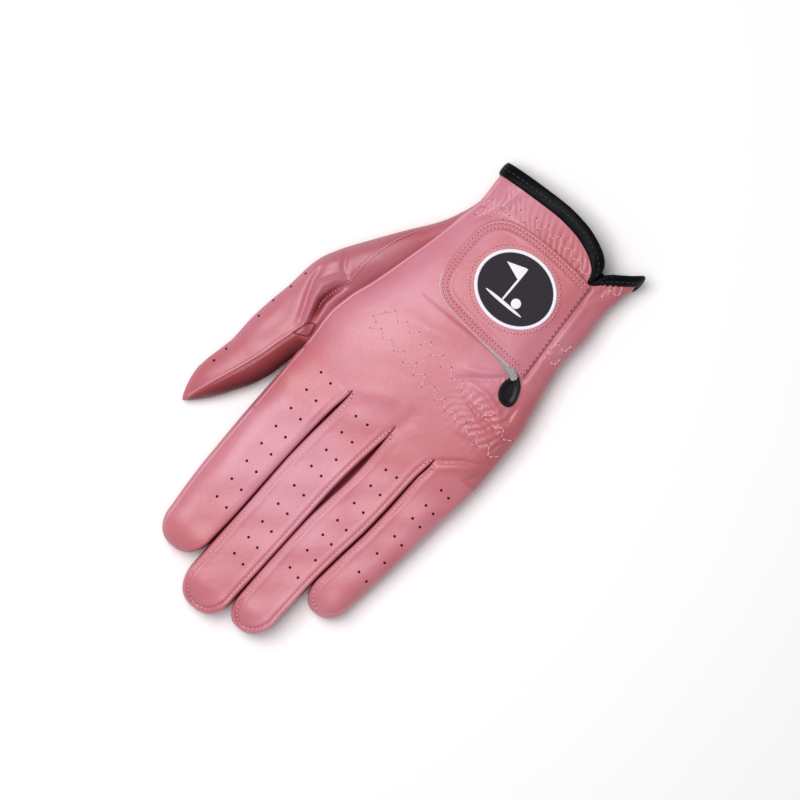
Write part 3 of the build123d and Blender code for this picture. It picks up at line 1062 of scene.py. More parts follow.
# ---------------------------------------------------------------- the wrist binding
@dataclass
class WristBinding:
    """Black satin tape folded over the wrist edge, dipping into the notch at the slit, with its row of stitches."""

    finishes: Finishes
    skin: HandSkin
    notch_x: float = -23.75
    half_thick: float = 1.25
    half_width: float = 3.2

    def path(self) -> tuple[Array, Array]:
        """The tape's middle line and the way out of the glove along it.

        Returns:
            Points from the notch round by the thumb side, the palm and the little finger side back to the
            notch, and unit vectors away from the middle of the hand.
        """
        fine = np.linspace(0, 2 * np.pi, 4000, endpoint=False)
        x = self.skin.ring(fine, np.zeros_like(fine))[..., 0]
        above = np.sin(fine) > 0
        start = fine[above][np.argmin(np.abs(x[above] - self.notch_x))]
        turn = start - np.linspace(0.004, 2 * np.pi - 0.004, 3000)
        y = self.skin.edge(turn)
        points = self.skin.ring(turn, y)
        flat = ease(np.sin(turn) / 0.18)
        points[:, 2] += flat * RELIEF(points[:, 0], points[:, 1]) * 0.5
        points = resample(points, 620)
        middle = np.stack([HAND.middle(points[:, 1]), points[:, 1], HAND.thickness(points[:, 1]) / 2], axis=-1)
        flatter = np.array([0.25, 0.0, 1.0])
        return points, unit((points - middle) * flatter)

    def build(self) -> None:
        """Makes the tape and its stitches."""
        points, up = self.path()
        step = np.linalg.norm(np.diff(points, axis=0), axis=1)
        along = np.concatenate([[0.0], np.cumsum(step)])
        left = np.minimum(along, along[-1] - along)
        width = self.half_width * (0.3 + 0.7 * ease(left / 9))
        width = width * (1 - 0.18 * ease((along - along[-1] + 26) / 8))
        thick = self.half_thick * (0.55 + 0.45 * ease(left / 6)) + 0.06 * np.sin(along / 1.9)
        lift = np.where(up[:, 2] < 0, 0.0, 0.25)
        points = points + up * lift[:, None]
        grid = sweep(points, up, width, thick, roundness=2.5, around=20)
        grid[..., 2] = np.maximum(grid[..., 2], TABLE)
        tape = grid_mesh("wrist_binding_tape", grid, True, Winding.COLUMNS_FIRST, True, True)
        dress(tape, self.finishes.tape)
        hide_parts("wrist_binding")
        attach(tape, "hand")
        thread = Thread(length=1.5, pitch=2.3, radius=0.16, proud=0.05)
        middles, ways = thread.centres(points[12:-12])
        out = np.stack([np.interp(np.linspace(12, 607, len(middles)), np.arange(620), u) for u in up.T], axis=1)
        laid = thread.lay(middles + unit(out) * (self.half_thick * 0.99), ways, unit(out))
        laid[..., 2] = np.maximum(laid[..., 2], TABLE)
        stitches = thread.sew("wrist_binding_stitches", [laid])
        dress(stitches, self.finishes.black_thread)
        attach(stitches, "hand")
        LOG.info("wrist binding: %.0f mm of tape, %d stitches", along[-1], len(middles))


# ---------------------------------------------------------------- elastic stitching
@dataclass
class ElasticRows:
    """Zigzag rows of pale thread that hold the elastic under the back of the hand."""

    finishes: Finishes
    rows: tuple[Plan, ...] = (
        ((34.5, 83.5), (20, 85), (10, 86.2), (0, 88.6), (-12, 90.2), (-22, 91.5), (-32, 92.5), (-39.5, 92.8)),
        ((34.5, 74.6), (20, 74.9), (10, 75.8), (0, 77.4), (-10, 79.4), (-20, 81), (-30, 82.4), (-39.5, 84.5)),
        ((33, 15.5), (26, 12.8), (16, 9.8), (6, 8.0), (-4, 8.0), (-12, 9.3), (-19.5, 12.0)),
        ((33, 19.8), (28, 17.4), (23, 14.4)),
        ((-26.5, 50), (-30, 48.5), (-34, 45)),
        ((-26.5, 43.5), (-30, 41.5), (-34, 38)),
        ((-28.5, 14), (-32, 10.5), (-35.2, 6.5)),
    )
    pitch: float = 6.5
    swing: float = 1.65
    slack: float = 0.42

    def zigzag(self, row: Plan) -> Array:
        """Corners of the zigzag: each half pitch along the row, one swing to each side in turn, a little loose."""
        path = smooth_path(row)
        total = np.linalg.norm(np.diff(path, axis=0), axis=1).sum()
        count = max(3, int(round(2 * total / self.pitch)) + 1)
        points = resample(path, count)
        way = unit(np.gradient(points, axis=0))
        side = np.stack([-way[:, 1], way[:, 0]], axis=1)
        sign = np.where(np.arange(count) % 2, 1.0, -1.0)[:, None]
        drift = np.stack([np.sin(2.7 * points[:, 1] + points[:, 0]), np.sin(3.1 * points[:, 0])], axis=1)
        return points + side * sign * self.swing + self.slack * drift

    def build(self) -> None:
        """Makes the threads and the needle holes at their corners."""
        thread = Thread(length=2.05, pitch=2.3, radius=0.27, proud=0.24)
        laid = []
        joint = np.array([[34.5, 83.5 - 1.6], [37.2, 80.6], [35.2, 77.8], [34.5, 74.6 + 1.6]])
        corners = [*(self.zigzag(row) for row in self.rows), joint]
        for corner in corners:
            start, end = corner[:-1], corner[1:]
            length = float(np.linalg.norm(end - start, axis=1).mean()) * 0.46
            for share in (0.27, 0.73):
                x, y = (start + (end - start) * share).T
                points = back_point(x, y)
                ahead_x, ahead_y = (start + (end - start) * share + 0.2 * unit(end - start)).T
                ways = unit(back_point(ahead_x, ahead_y) - points)
                laid.append(thread.lay(points, ways, surface_normals(back_point, x, y), length))
        stitches = thread.sew("elastic_zigzag_thread", laid)
        dress(stitches, self.finishes.thread)
        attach(stitches, "hand")
        marks = punched(back_point, np.concatenate(corners), radius=0.3)
        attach(self.finishes.punch("elastic_needle_holes", marks), "hand")
        LOG.info("elastic rows: %d stitches", sum(len(x) for x in laid))


# ---------------------------------------------------------------- the closure tab
@dataclass
class ClosureTab:
    """The tab on the back of the hand: leather over a raw cream lining, with grey hook tape under its edge."""

    finishes: Finishes
    free_edge: Plan = (
        (-23.4, 14.2), (-12, 13.0), (0, 12.5), (10, 13.0), (18.4, 14.7), (24.0, 18.5), (26.9, 24.2), (27.7, 31),
        (27.7, 40), (26.9, 47.6), (24.3, 53.2), (19.4, 56.9), (12, 58.6), (0, 59.7), (-13, 60.4), (-26, 61.0),
    )
    thick: float = 1.1
    borders: tuple[float, float] = (1.2, 3.1)
    free_points: int = 260
    hook_share: float = 0.84

    def outline(self) -> Array:
        """The closed counter-clockwise outline: the free edge's curve, then the straight sewn edge."""
        free = resample(smooth_path(self.free_edge), self.free_points)
        seam = np.linspace(free[-1], free[0], 62)[1:-1]
        return np.vstack([free, seam])

    def rest(self, x: Array, y: Array) -> Array:
        """Height of the tab's underside: the smooth back of the hand, raised away from the sewn edge."""
        away = ease((x + 25.5) / 9.0)
        return HAND.height(x, y) + 0.35 + 1.35 * away

    def top_point(self, x: Array, y: Array) -> Array:
        """Points of the tab's upper face."""
        return np.stack([x + 0 * y, y + 0 * x, self.rest(x, y) + self.thick], axis=-1)

    def border_relief(self, distance: Array) -> Array:
        """Height of the top near its edge.

        Args:
            distance: Distance from the outline.

        Returns:
            A valley at each row of stitches, a swell between them and outside them, and a low step inside.
        """
        outer, inner = self.borders
        valleys = -0.30 * bell(distance - outer, 0.42) - 0.30 * bell(distance - inner, 0.42)
        swells = 0.16 * bell(distance - (outer + inner) / 2, 0.5) + 0.10 * bell(distance - 0.7, 0.4)
        return valleys + swells + 0.12 * bell(distance - inner - 1.3, 0.8)

    def border_shade(self, distance: Array) -> Array:
        """Painted shade on the leather, deeper along both rows of stitches and at the cut edge."""
        outer, inner = self.borders
        return 0.16 * bell(distance - outer, 0.4) + 0.16 * bell(distance - inner, 0.4) + 0.25 * bell(distance, 0.2)

    def under_lining(self, x: Array, y: Array) -> Array:
        """Underside of the hook pad, just below the lining."""
        return self.rest(x, y) - 0.8

    def build(self) -> None:
        """Makes the leather, the lining, the hook tape and the stitches."""
        outline = self.outline()
        pad = Pad(
            outline,
            self.rest,
            thick=self.thick,
            edge=0.32,
            foot=0.25,
            rings=26,
            relief=self.border_relief,
            shade=self.border_shade,
            free=outline[: self.free_points],
        )
        leather = dress(pad.build("tab_top_leather"), self.finishes.leather)
        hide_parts("tab_leather")
        raw = 0.25 - 0.6 * ease((outline[:, 1:] - 44.0) / 6.0) * ease((outline[:, :1] + 24.5) / 3.0)
        lining = Pad(inset(outline, raw), self.rest, thick=0.5, edge=0.2, rings=6).build("tab_raw_lining")
        dress(lining, self.finishes.lining)
        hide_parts("tab_lining")
        patch = Pad(self.wedge(), self.over_teardrop, thick=1.0, rings=5).build("tab_hook_tape")
        dress(patch, self.finishes.hook)
        middle = outline.mean(axis=0)
        smaller = middle + self.hook_share * (outline - middle)
        hooks = Pad(smaller, self.under_lining, thick=0.75, edge=0.2).build("tab_hook_pad")
        dress(hooks, self.finishes.hook)
        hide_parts("hook_patch")
        for piece in (leather, lining, patch, hooks, *self.border(outline), self.seam()):
            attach(piece, "tab")

    def border(self, outline: Array) -> tuple[Piece, Piece]:
        """The double row of stitches along the free edge, and their needle holes.

        Args:
            outline: The tab's outline.

        Returns:
            The stitches and the holes.
        """
        thread = Thread(length=1.2, pitch=1.6, radius=0.19, proud=0.12)
        laid, spots = [], []
        for amount in self.borders:
            middles, ways = thread.centres(inset(outline, amount)[3 : self.free_points - 3])
            x, y = middles.T
            normal = surface_normals(self.top_point, x, y)
            flat = np.column_stack([ways, np.zeros(len(ways))])
            level = unit(flat - normal * np.sum(flat * normal, axis=1, keepdims=True))
            laid.append(thread.lay(self.top_point(x, y) - np.array([0, 0, 0.2]), level, normal))
            spots.append(middles + ways * thread.pitch / 2)
        stitches = thread.sew("tab_border_stitches", laid)
        dress(stitches, self.finishes.thread)
        marks = punched(self.top_point, np.concatenate(spots), radius=0.22, lift=-0.26, crown=0.12)
        LOG.info("closure tab: %d border stitches", sum(len(x) for x in laid))
        return stitches, self.finishes.punch("tab_needle_holes", marks)

    def seam(self) -> Piece:
        """The dark red stitches along the sewn edge."""
        thread = Thread(length=1.1, pitch=2.1, radius=0.3, proud=0.14)
        middles, ways = thread.centres(np.linspace([-25.5, 60.5], [-22.9, 15.0], 40))
        x, y = middles.T
        flat = np.column_stack([ways, np.zeros(len(ways))])
        points = self.top_point(x, y) - np.array([0, 0, 0.1])
        seam = thread.sew("tab_seam_stitches", [thread.lay(points, flat, surface_normals(self.top_point, x, y))])
        return dress(seam, self.finishes.red_thread)

    @staticmethod
    def over_teardrop(x: Array, y: Array) -> Array:
        """Underside of the hook tape, which climbs onto the slit's rubber end."""
        return HAND.height(x, y) + 0.5 + 1.2 * ease((-16.0 - x) / 6.5)

    @staticmethod
    def wedge() -> Array:
        """Outline of the strip of hook tape that shows beside the tab, wide at the slit's end."""
        lower = resample(smooth_path(((4, 58.4), (-10, 58.4), (-22.0, 60.6))), 30)
        end = np.array([(-24.2, 61.8), (-24.6, 62.8), (-23.9, 64.2), (-23.1, 64.6)])
        upper = resample(smooth_path(((-21.9, 64.1), (-15, 62.1), (-6, 60.7), (4, 59.5))), 30)
        return np.vstack([lower, end, upper])[::-1]


@dataclass
class Badge:
    """The oval badge on the tab: black cloth, a raised white border, whip stitches and a plain flag and ball."""

    finishes: Finishes
    tab: ClosureTab
    x: float = -0.5
    y: float = 35.0
    half_x: float = 17.8
    half_y: float = 15.7
    border: float = 1.5

    def oval(self, grow: float | Array, count: int = 160) -> Array:
        """Counter-clockwise oval round the badge's middle, grown by grow."""
        turn = np.linspace(0, 2 * np.pi, count, endpoint=False)
        x = self.x + (self.half_x + grow) * np.cos(turn)
        return np.stack([x, self.y + (self.half_y + grow) * np.sin(turn)], axis=1)

    def over(self, height: float) -> Surface:
        """Height function of the tab's top raised by height."""

        def raised(x: Array, y: Array) -> Array:
            """Height of the raised top there."""
            return self.tab.top_point(x, y)[..., 2] + height

        return raised

    def build(self) -> None:
        """Makes the cloth, the border, the whip stitches and the emblem."""
        cloth = Pad(self.oval(-0.6), self.over(0.05), thick=0.5, edge=0.2, rings=16).build("badge_cloth")
        dress(cloth, self.finishes.badge)
        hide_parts("badge_face")
        ring = self.oval(-self.border / 2)
        path = np.column_stack([ring, self.over(0.45)(ring[:, 0], ring[:, 1])])
        up = surface_normals(self.tab.top_point, ring[:, 0], ring[:, 1])
        half, high = np.full(len(path), self.border / 2), np.full(len(path), 0.55)
        round_it = sweep(path, up, half, high, roundness=2.2, closed=True)
        border = grid_mesh("badge_border", np.vstack([round_it, round_it[:1]]), True, Winding.COLUMNS_FIRST)
        dress(border, self.finishes.border)
        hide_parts("badge_ring")
        thread = Thread(length=1.6, pitch=1.5, radius=0.17, proud=0.16)
        count = 84
        turn = np.linspace(0, 2 * np.pi, count, endpoint=False)
        reach = 0.65 + 0.35 * (np.arange(count) % 2)
        plan = self.oval(reach, count)
        outward = np.column_stack([np.cos(turn + 0.35), np.sin(turn + 0.35), np.zeros(count)])
        points = self.tab.top_point(plan[:, 0], plan[:, 1]) + np.array([0, 0, 0.08])
        normal = surface_normals(self.tab.top_point, plan[:, 0], plan[:, 1])
        whip = thread.sew("badge_whip_stitches", [thread.lay(points, outward, normal)])
        dress(whip, self.finishes.thread)
        spots = plan + 0.95 * outward[:, :2]
        base = self.tab.top_point(spots[:, 0], spots[:, 1]) + np.array([0, 0, 0.04])
        holes = self.finishes.punch("badge_needle_holes", domes(base, normal, 0.24, 0.1))
        for piece in (cloth, border, whip, holes, *self.emblem()):
            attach(piece, "tab")
        LOG.info("badge: %d whip stitches", count)

    def emblem(self) -> list[Piece]:
        """A flag on its pole, a ground line and a ball, in white satin stitch, upright from the fingers' side."""
        x, y = self.x + 1.5, self.y
        top, foot = y - 9.6, y + 6.6
        turn = np.linspace(0, 2 * np.pi, 48, endpoint=False)
        corners = np.array([(x + 0.4, top), (x + 8.6, top + 3.0), (x + 0.4, top + 6.0)])
        flag = np.vstack([np.linspace(corners[k], corners[(k + 1) % 3], 16, endpoint=False) for k in range(3)])
        side = np.sign(np.cos(turn)) * np.abs(np.cos(turn)) ** 0.3
        pole = np.stack([x + 0.5 * side, (top + foot) / 2 + (foot - top) / 2 * np.sin(turn)], axis=1)
        ball = np.stack([x - 5.4 + 2.1 * np.cos(turn), foot - 2.2 + 2.1 * np.sin(turn)], axis=1)
        ground = np.stack([x - 1.2 + 9.4 * np.cos(turn), foot + 0.75 + 0.75 * np.sin(turn)], axis=1)
        shapes = (
            ("emblem_flag", flag, "badge_flag"), ("emblem_pole", pole, None),
            ("emblem_ball", ball, "badge_ball"), ("emblem_ground", ground, None),
        )
        pieces = []
        for name, outline, node in shapes:
            piece = Pad(outline, self.over(0.5), thick=0.3, edge=0.12, rings=4, crown=0.12).build(name)
            dress(piece, self.finishes.border)
            if node:
                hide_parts(node)
            pieces.append(piece)
        return pieces


@dataclass
class SlitEnd:
    """The black rubber teardrop that stops the slit, with a raised rim and a sunken middle."""

    finishes: Finishes
    corners: Plan = (
        (-24.7, 61.4), (-21.7, 64.6), (-21.1, 68.7), (-22.5, 72.3), (-25.5, 74.3), (-28.9, 73.9), (-30.3, 71.2),
        (-29.3, 66.9), (-27.4, 63.6),
    )

    def outline(self) -> Array:
        """The smooth closed curve through the corners, counter-clockwise, pointed towards the wrist."""
        return closed_curve(self.corners)

    @staticmethod
    def rim(distance: Array) -> Array:
        """A low rounded rim and a sunken middle inside it."""
        return 0.15 * bell(distance - 0.7, 0.6) - 0.6 * ease((distance - 1.2) / 1.4)

    @staticmethod
    def under(x: Array, y: Array) -> Array:
        """The back of the hand under it, with its folds half flattened."""
        return HAND.height(x, y) + 0.6 * RELIEF(x, y)

    def build(self) -> None:
        """Makes the teardrop."""
        pad = Pad(self.outline(), self.under, thick=1.5, edge=0.45, foot=-0.2, relief=self.rim)
        piece = dress(pad.build("slit_end_teardrop"), self.finishes.rubber)
        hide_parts("slit_stop")
        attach(piece, "hand")
        LOG.info("slit end: %d faces", len(piece.data.polygons))


# ---------------------------------------------------------------- fingers
class Side(Enum):
    """The two sides of a finger."""

    LITTLE = -1
    THUMB = 1


@dataclass(frozen=True)
class FingerShape:
    """One finger's form: sections across y, with its two edges and its tip given."""

    name: str
    little_edge: Stations
    thumb_edge: Stations
    tip: tuple[float, float]
    nose: float
    thick: Stations
    forks: tuple[float, float]
    seams: tuple[Side, ...]
    holes: Plan
    start: float = FORK_Y - 1.0
    bulges: tuple[Stations, Stations] = (Stations(((0, 0), (1, 0))), Stations(((0, 0), (1, 0))))
    taper: float = 2.25
    drift: float = 1.5
    seam_end: float = 999.0

    def fork(self, side: Side) -> float:
        """y of the fork on one side."""
        return self.forks[0] if side is Side.LITTLE else self.forks[1]

    def plan(self, y: Array) -> tuple[Array, Array, Array]:
        """Middle, half width and share along the nose.

        Returns:
            The edges' curves up to the nose. Over the nose, with q the share along it, the half width
            narrows and the middle drifts to the tip.
        """
        start = self.tip[1] - self.nose
        along = np.minimum(y, start)
        low, high = self.little_edge(along), self.thumb_edge(along)
        q = np.clip((y - start) / self.nose, 0.0, 1.0)
        middle = (low + high) / 2
        return middle + (self.tip[0] - middle) * q**self.drift, (high - low) / 2 * self.narrowing(q), q

    def narrowing(self, q: Array) -> Array:
        """Share of the width that is left at a share q of the nose: (1 - q^p)^(1/p)."""
        return (1 - q**self.taper) ** (1 / self.taper)

    def crest(self, y: Array) -> Array:
        """Place of the crest across the finger, from -1 to 1."""
        return 0.0 * y

    def roundness(self, y: Array, towards: Array) -> Array:
        """Exponent of the section: square at the fork, where neighbours meet, then rounder, least on open sides."""
        fork = np.where(towards < 0, self.forks[0], self.forks[1])
        walled = np.where(towards < 0, Side.LITTLE in self.seams, Side.THUMB in self.seams)
        return 2.6 + 8.5 * walled + 20.0 * (1 - ease((y - fork) / 22.0)) ** 2

    def levels(self, x: Array, y: Array) -> tuple[Array, Array]:
        """Middle height and half height of the section, which take over from the hand's beyond the fork."""
        share = ease((y - FORK_Y) / 24.0)
        _, _, q = self.plan(y)
        half = self.thick(y) / 2
        middle = half - 1.6 * q**2
        half = half * (1 - q**2.4) ** (1 / 2.2)
        hand_half = HAND.thickness(y) / 2
        lifted = hand_half * np.maximum(HAND.lift(x, y), 0.2)
        return (1 - share) * (hand_half - HAND.sink) + share * middle, (1 - share) * lifted + share * half

    def inward(self, x: Array, y: Array) -> tuple[Array, Array, Array]:
        """Distance in from the nearest edge, the share across and the share along the nose."""
        middle, half, q = self.plan(y)
        full = np.maximum(half / np.maximum(self.narrowing(q), 0.02), 1.0)
        across = (x - middle) / full
        return full * (1 - np.sqrt(np.square(across) + q**2)), across, q

    def relief(self, x: Array, y: Array) -> Array:
        """Seam grooves, edge bands and soft waves of the finger's back.

        Returns:
            For each sewn side, with d the distance in from the edge: a groove at SEAM_IN, a raised band
            outside it and a slight swell inside it, from the fork to round the tip. Then the hand's own
            relief, which fades in 22 mm.
        """
        d, across, q = self.inward(x, y)
        total = np.zeros(np.shape(x + y))
        for side in self.seams:
            on = ease((y - self.fork(side) + 2.5) / 5.0) * np.where(across * side.value > 0, 1.0, ease(q * 6))
            on = on * (1 - 0.85 * ease((y - self.seam_end) / 8.0))
            groove = 0.5 * bell(d - SEAM_IN, 0.42)
            total = total + on * (0.34 * bell(d - SEAM_IN / 2, 0.55) - groove + 0.16 * bell(d - 3.2, 1.0))
        waves = 0.30 * np.sin(y / 7.0 + self.tip[0]) * np.cos(across * 2.2) + 0.10 * np.sin(y / 2.9 - across * 3.0)
        sunk = 0.04 * (1 - ease((y - FORK_Y - OVERLAP) / 3.0))
        fade = 1 - ease((y - FORK_Y - 8) / 22)
        return total + waves * ease((y - FORK_Y) / 12) + fade * RELIEF(x, y) - sunk

    def unskewed(self, x: Array, y: Array) -> Array:
        """Share across the section measured from its crest: -1 and 1 at its edges and 0 at the crest."""
        middle, half, _ = self.plan(y)
        crest = self.crest(y)
        w = (x - middle) / np.maximum(half, 1e-3)
        return np.where(w < crest, (w - crest) / (1 + crest), (w - crest) / (1 - crest))

    def height(self, x: Array, y: Array) -> Array:
        """Height of the finger's finished back."""
        u = self.unskewed(x, y)
        n = self.roundness(y, u)
        lift = (1 - np.clip(np.abs(u), 0, 1) ** n) ** (1 / n)
        level, high = self.levels(x, y)
        return level + high * lift + self.relief(x, y) * np.clip(lift * 2.2, 0, 1)

    def point(self, x: Array, y: Array) -> Array:
        """Points of the finger's finished back."""
        return np.stack([x + 0 * y, y + 0 * x, self.height(x, y)], axis=-1)

    def grid(self, y: Array, around: int) -> Array:
        """The finger's skin.

        Args:
            y: The rows' places.
            around: Points around.

        Returns:
            rows x around x 3: a superellipse with its own exponent on each side of the crest, with the
            relief added above, the fourchettes' bulge added at the sides below, and its underside held
            on the table.
        """
        turn = np.linspace(0, 2 * np.pi, around, endpoint=False)[None]
        y = y[:, None] + 0 * turn
        middle, half, q = self.plan(y)
        c, s = np.cos(turn), np.sin(turn)
        n = self.roundness(y, c)
        n = np.where(s < 0, 0.55 * n + 1.2, n)
        reach = (np.abs(c) ** n + np.abs(s) ** n) ** (-1 / n)
        u, lift = reach * c, reach * s
        crest = self.crest(y)
        w = crest + np.where(u < 0, u * (1 + crest), u * (1 - crest))
        bulge = np.where(u < 0, self.bulges[0](y), self.bulges[1](y)) * ease((0.45 - s) / 0.6) * (1 - q)
        x = middle + half * w
        level, high = self.levels(x, y)
        z = level + high * lift + self.relief(x, y) * np.clip(lift * 2.2, 0, 1)
        return np.stack([x + bulge * u, y, np.maximum(z, TABLE)], axis=-1)

    def tone(self, grid: Array) -> Array:
        """Painted shade: darker on the fourchettes, in the gaps between fingers, and on the underside."""
        around = grid.shape[1]
        turn = np.linspace(0, 2 * np.pi, around, endpoint=False)[None]
        x, y = grid[..., 0], grid[..., 1]
        wall_shade = np.zeros(x.shape)
        for side in self.seams:
            facing = ease(np.cos(turn) * side.value / 0.5) * ease((y - self.fork(side) - 1) / 6)
            wall_shade = np.maximum(wall_shade, facing * ease((0.62 - np.sin(turn)) / 0.35))
        _, _, q = self.plan(y)
        return np.maximum(0.42 * wall_shade * (1 - 0.5 * q), 0.2 * ease(-np.sin(turn) / 0.5))

    def seam_paths(self, margin: float) -> list[Array]:
        """Plan paths of the sewn lines.

        Args:
            margin: Distance in from the edge.

        Returns:
            One path for each sewn side, from just before its fork, where it closes in on the slit's end,
            to the middle of the tip.
        """
        start = self.tip[1] - self.nose
        paths = []
        for side in self.seams:
            fork = self.fork(side)
            straight = np.linspace(fork - 2.6, start, 80)
            middle, half, _ = self.plan(straight)
            close = margin * (0.3 + 0.7 * ease((straight - fork + 2.6) / 5.0))
            line = np.stack([middle + side.value * (half - close), straight], axis=1)
            turn = np.radians(np.linspace(3, 88, 24))
            last_middle, last_half, _ = self.plan(np.array([start]))
            share = 1 - margin / last_half[0]
            y = start + share * self.nose * np.sin(turn)
            q = (y - start) / self.nose
            drift = (self.tip[0] - last_middle[0]) * q**self.drift
            x = last_middle[0] + drift + side.value * last_half[0] * share * np.cos(turn)
            whole = np.vstack([line, np.stack([x, y], axis=1)])
            paths.append(whole[whole[:, 1] < self.seam_end])
        return paths


@dataclass(frozen=True)
class ThumbShape(FingerShape):
    """The thumb and its root: a crest under the long seam, a roll of leather at its fork and a sunken quirk."""

    start: float = 15.0
    taper: float = 1.25
    drift: float = 1.0
    seam: Stations = Stations((
        (92, 53.6), (101, 56.4), (106.3, 57.9), (113, 60.0), (121.5, 62.2), (131, 65.5), (140, 69.0), (150, 72.8),
        (158, 75.4),
    ))
    folds: tuple[Crease, ...] = (
        Crease(((54.2, 75.8), (59.0, 79.0), (61.4, 84.3), (60.3, 90.7), (58.0, 96.4), (56.2, 102)), 2.5, 1.7),
        Crease(((53.8, 78.5), (56.2, 83.5), (57.2, 89), (56.2, 95), (54.6, 101)), -4.8, 1.5),
        Crease(((66.6, 77.0), (65.6, 84.8), (63.4, 91), (61.0, 96.5), (58.9, 102)), -1.6, 1.4),
        Crease(((61.5, 69), (68.2, 79), (68.6, 88)), 0.8, 2.2),
        Crease(((56.6, 75.4), (59.6, 72.6), (61.8, 68.6), (63.8, 65.4)), -0.9, 1.3),
        Crease(((58.0, 76.6), (60.2, 79.4), (61.2, 82.4)), -0.65, 0.5),
        Crease(((60.4, 77.2), (62.6, 80.2), (63.4, 83.2)), -0.5, 0.6),
        Crease(((59.4, 85.5), (62.4, 86.8), (64.6, 86.4)), -0.4, 0.5),
        Crease(((66.5, 96), (66.0, 108), (68.5, 120)), -0.5, 3.0),
        Crease(((38.5, 28), (45.0, 42), (53.5, 57), (61.0, 68)), 0.5, 3.0),
    )

    def crest(self, y: Array) -> Array:
        """The crest follows the long seam beyond the quirk."""
        middle, half, _ = self.plan(y)
        share = (self.seam(y) - middle) / np.maximum(half, 1.0)
        return np.clip(ease((y - 90) / 18) * share, -0.75, 0.75)

    def roundness(self, y: Array, towards: Array) -> Array:
        """Steeper on the palm side of the crest."""
        return np.where(towards < 0, 1.75, 2.35) + 0 * y

    def levels(self, x: Array, y: Array) -> tuple[Array, Array]:
        """Middle height and half height, which fall off over the tip."""
        half = self.thick(y) / 2
        _, _, q = self.plan(y)
        return half + 0.2 - 1.8 * q**2, half * (1 - q**2.4) ** (1 / 2.2)

    def relief(self, x: Array, y: Array) -> Array:
        """Folds of the web, the roll and the quirk, and the ridge of the long seam."""
        total = 0.18 * np.sin(y / 6.0 + x / 9.0) + 0.12 * np.sin(y / 2.6 - x / 5.0)
        for fold in self.folds:
            total = total + fold(x, y)
        away = (x - self.seam(y)) * 0.94
        return total + ease((y - 100) / 5) * (0.55 * bell(away - 0.35, 0.55) - 0.5 * bell(away + 0.75, 0.4))

    def tone(self, grid: Array) -> Array:
        """Painted shade: deeper on the palm side of the long seam, along the seam, in the quirk and underneath, and a
        little over the top, most over the web.
        """
        turn = np.linspace(0, 2 * np.pi, grid.shape[1], endpoint=False)[None]
        x, y = grid[..., 0], grid[..., 1]
        palm = ease((self.seam(y) - 0.3 - x) / 0.8) * ease((y - 104) / 4)
        quirk = Crease(((53.8, 78), (56.2, 83.5), (57.2, 89), (56.2, 95), (54.6, 101)), 1.0, 2.0)(x, y)
        middle, half, _ = self.plan(y)
        outer = ease((self.seam(y) - x) / np.maximum(self.seam(y) - middle + half, 1.0))
        line = 0.4 * bell(x - self.seam(y) + 0.8, 0.35) * ease((y - 104) / 4)
        top = 0.17 + 0.12 * ease((86 - y) / 16)
        under = 0.55 * ease(-np.sin(turn) / 0.3) + 0 * x
        return np.maximum.reduce([palm * (0.58 + 0.34 * outer), 0.74 * quirk, top + 0 * x, line, under])


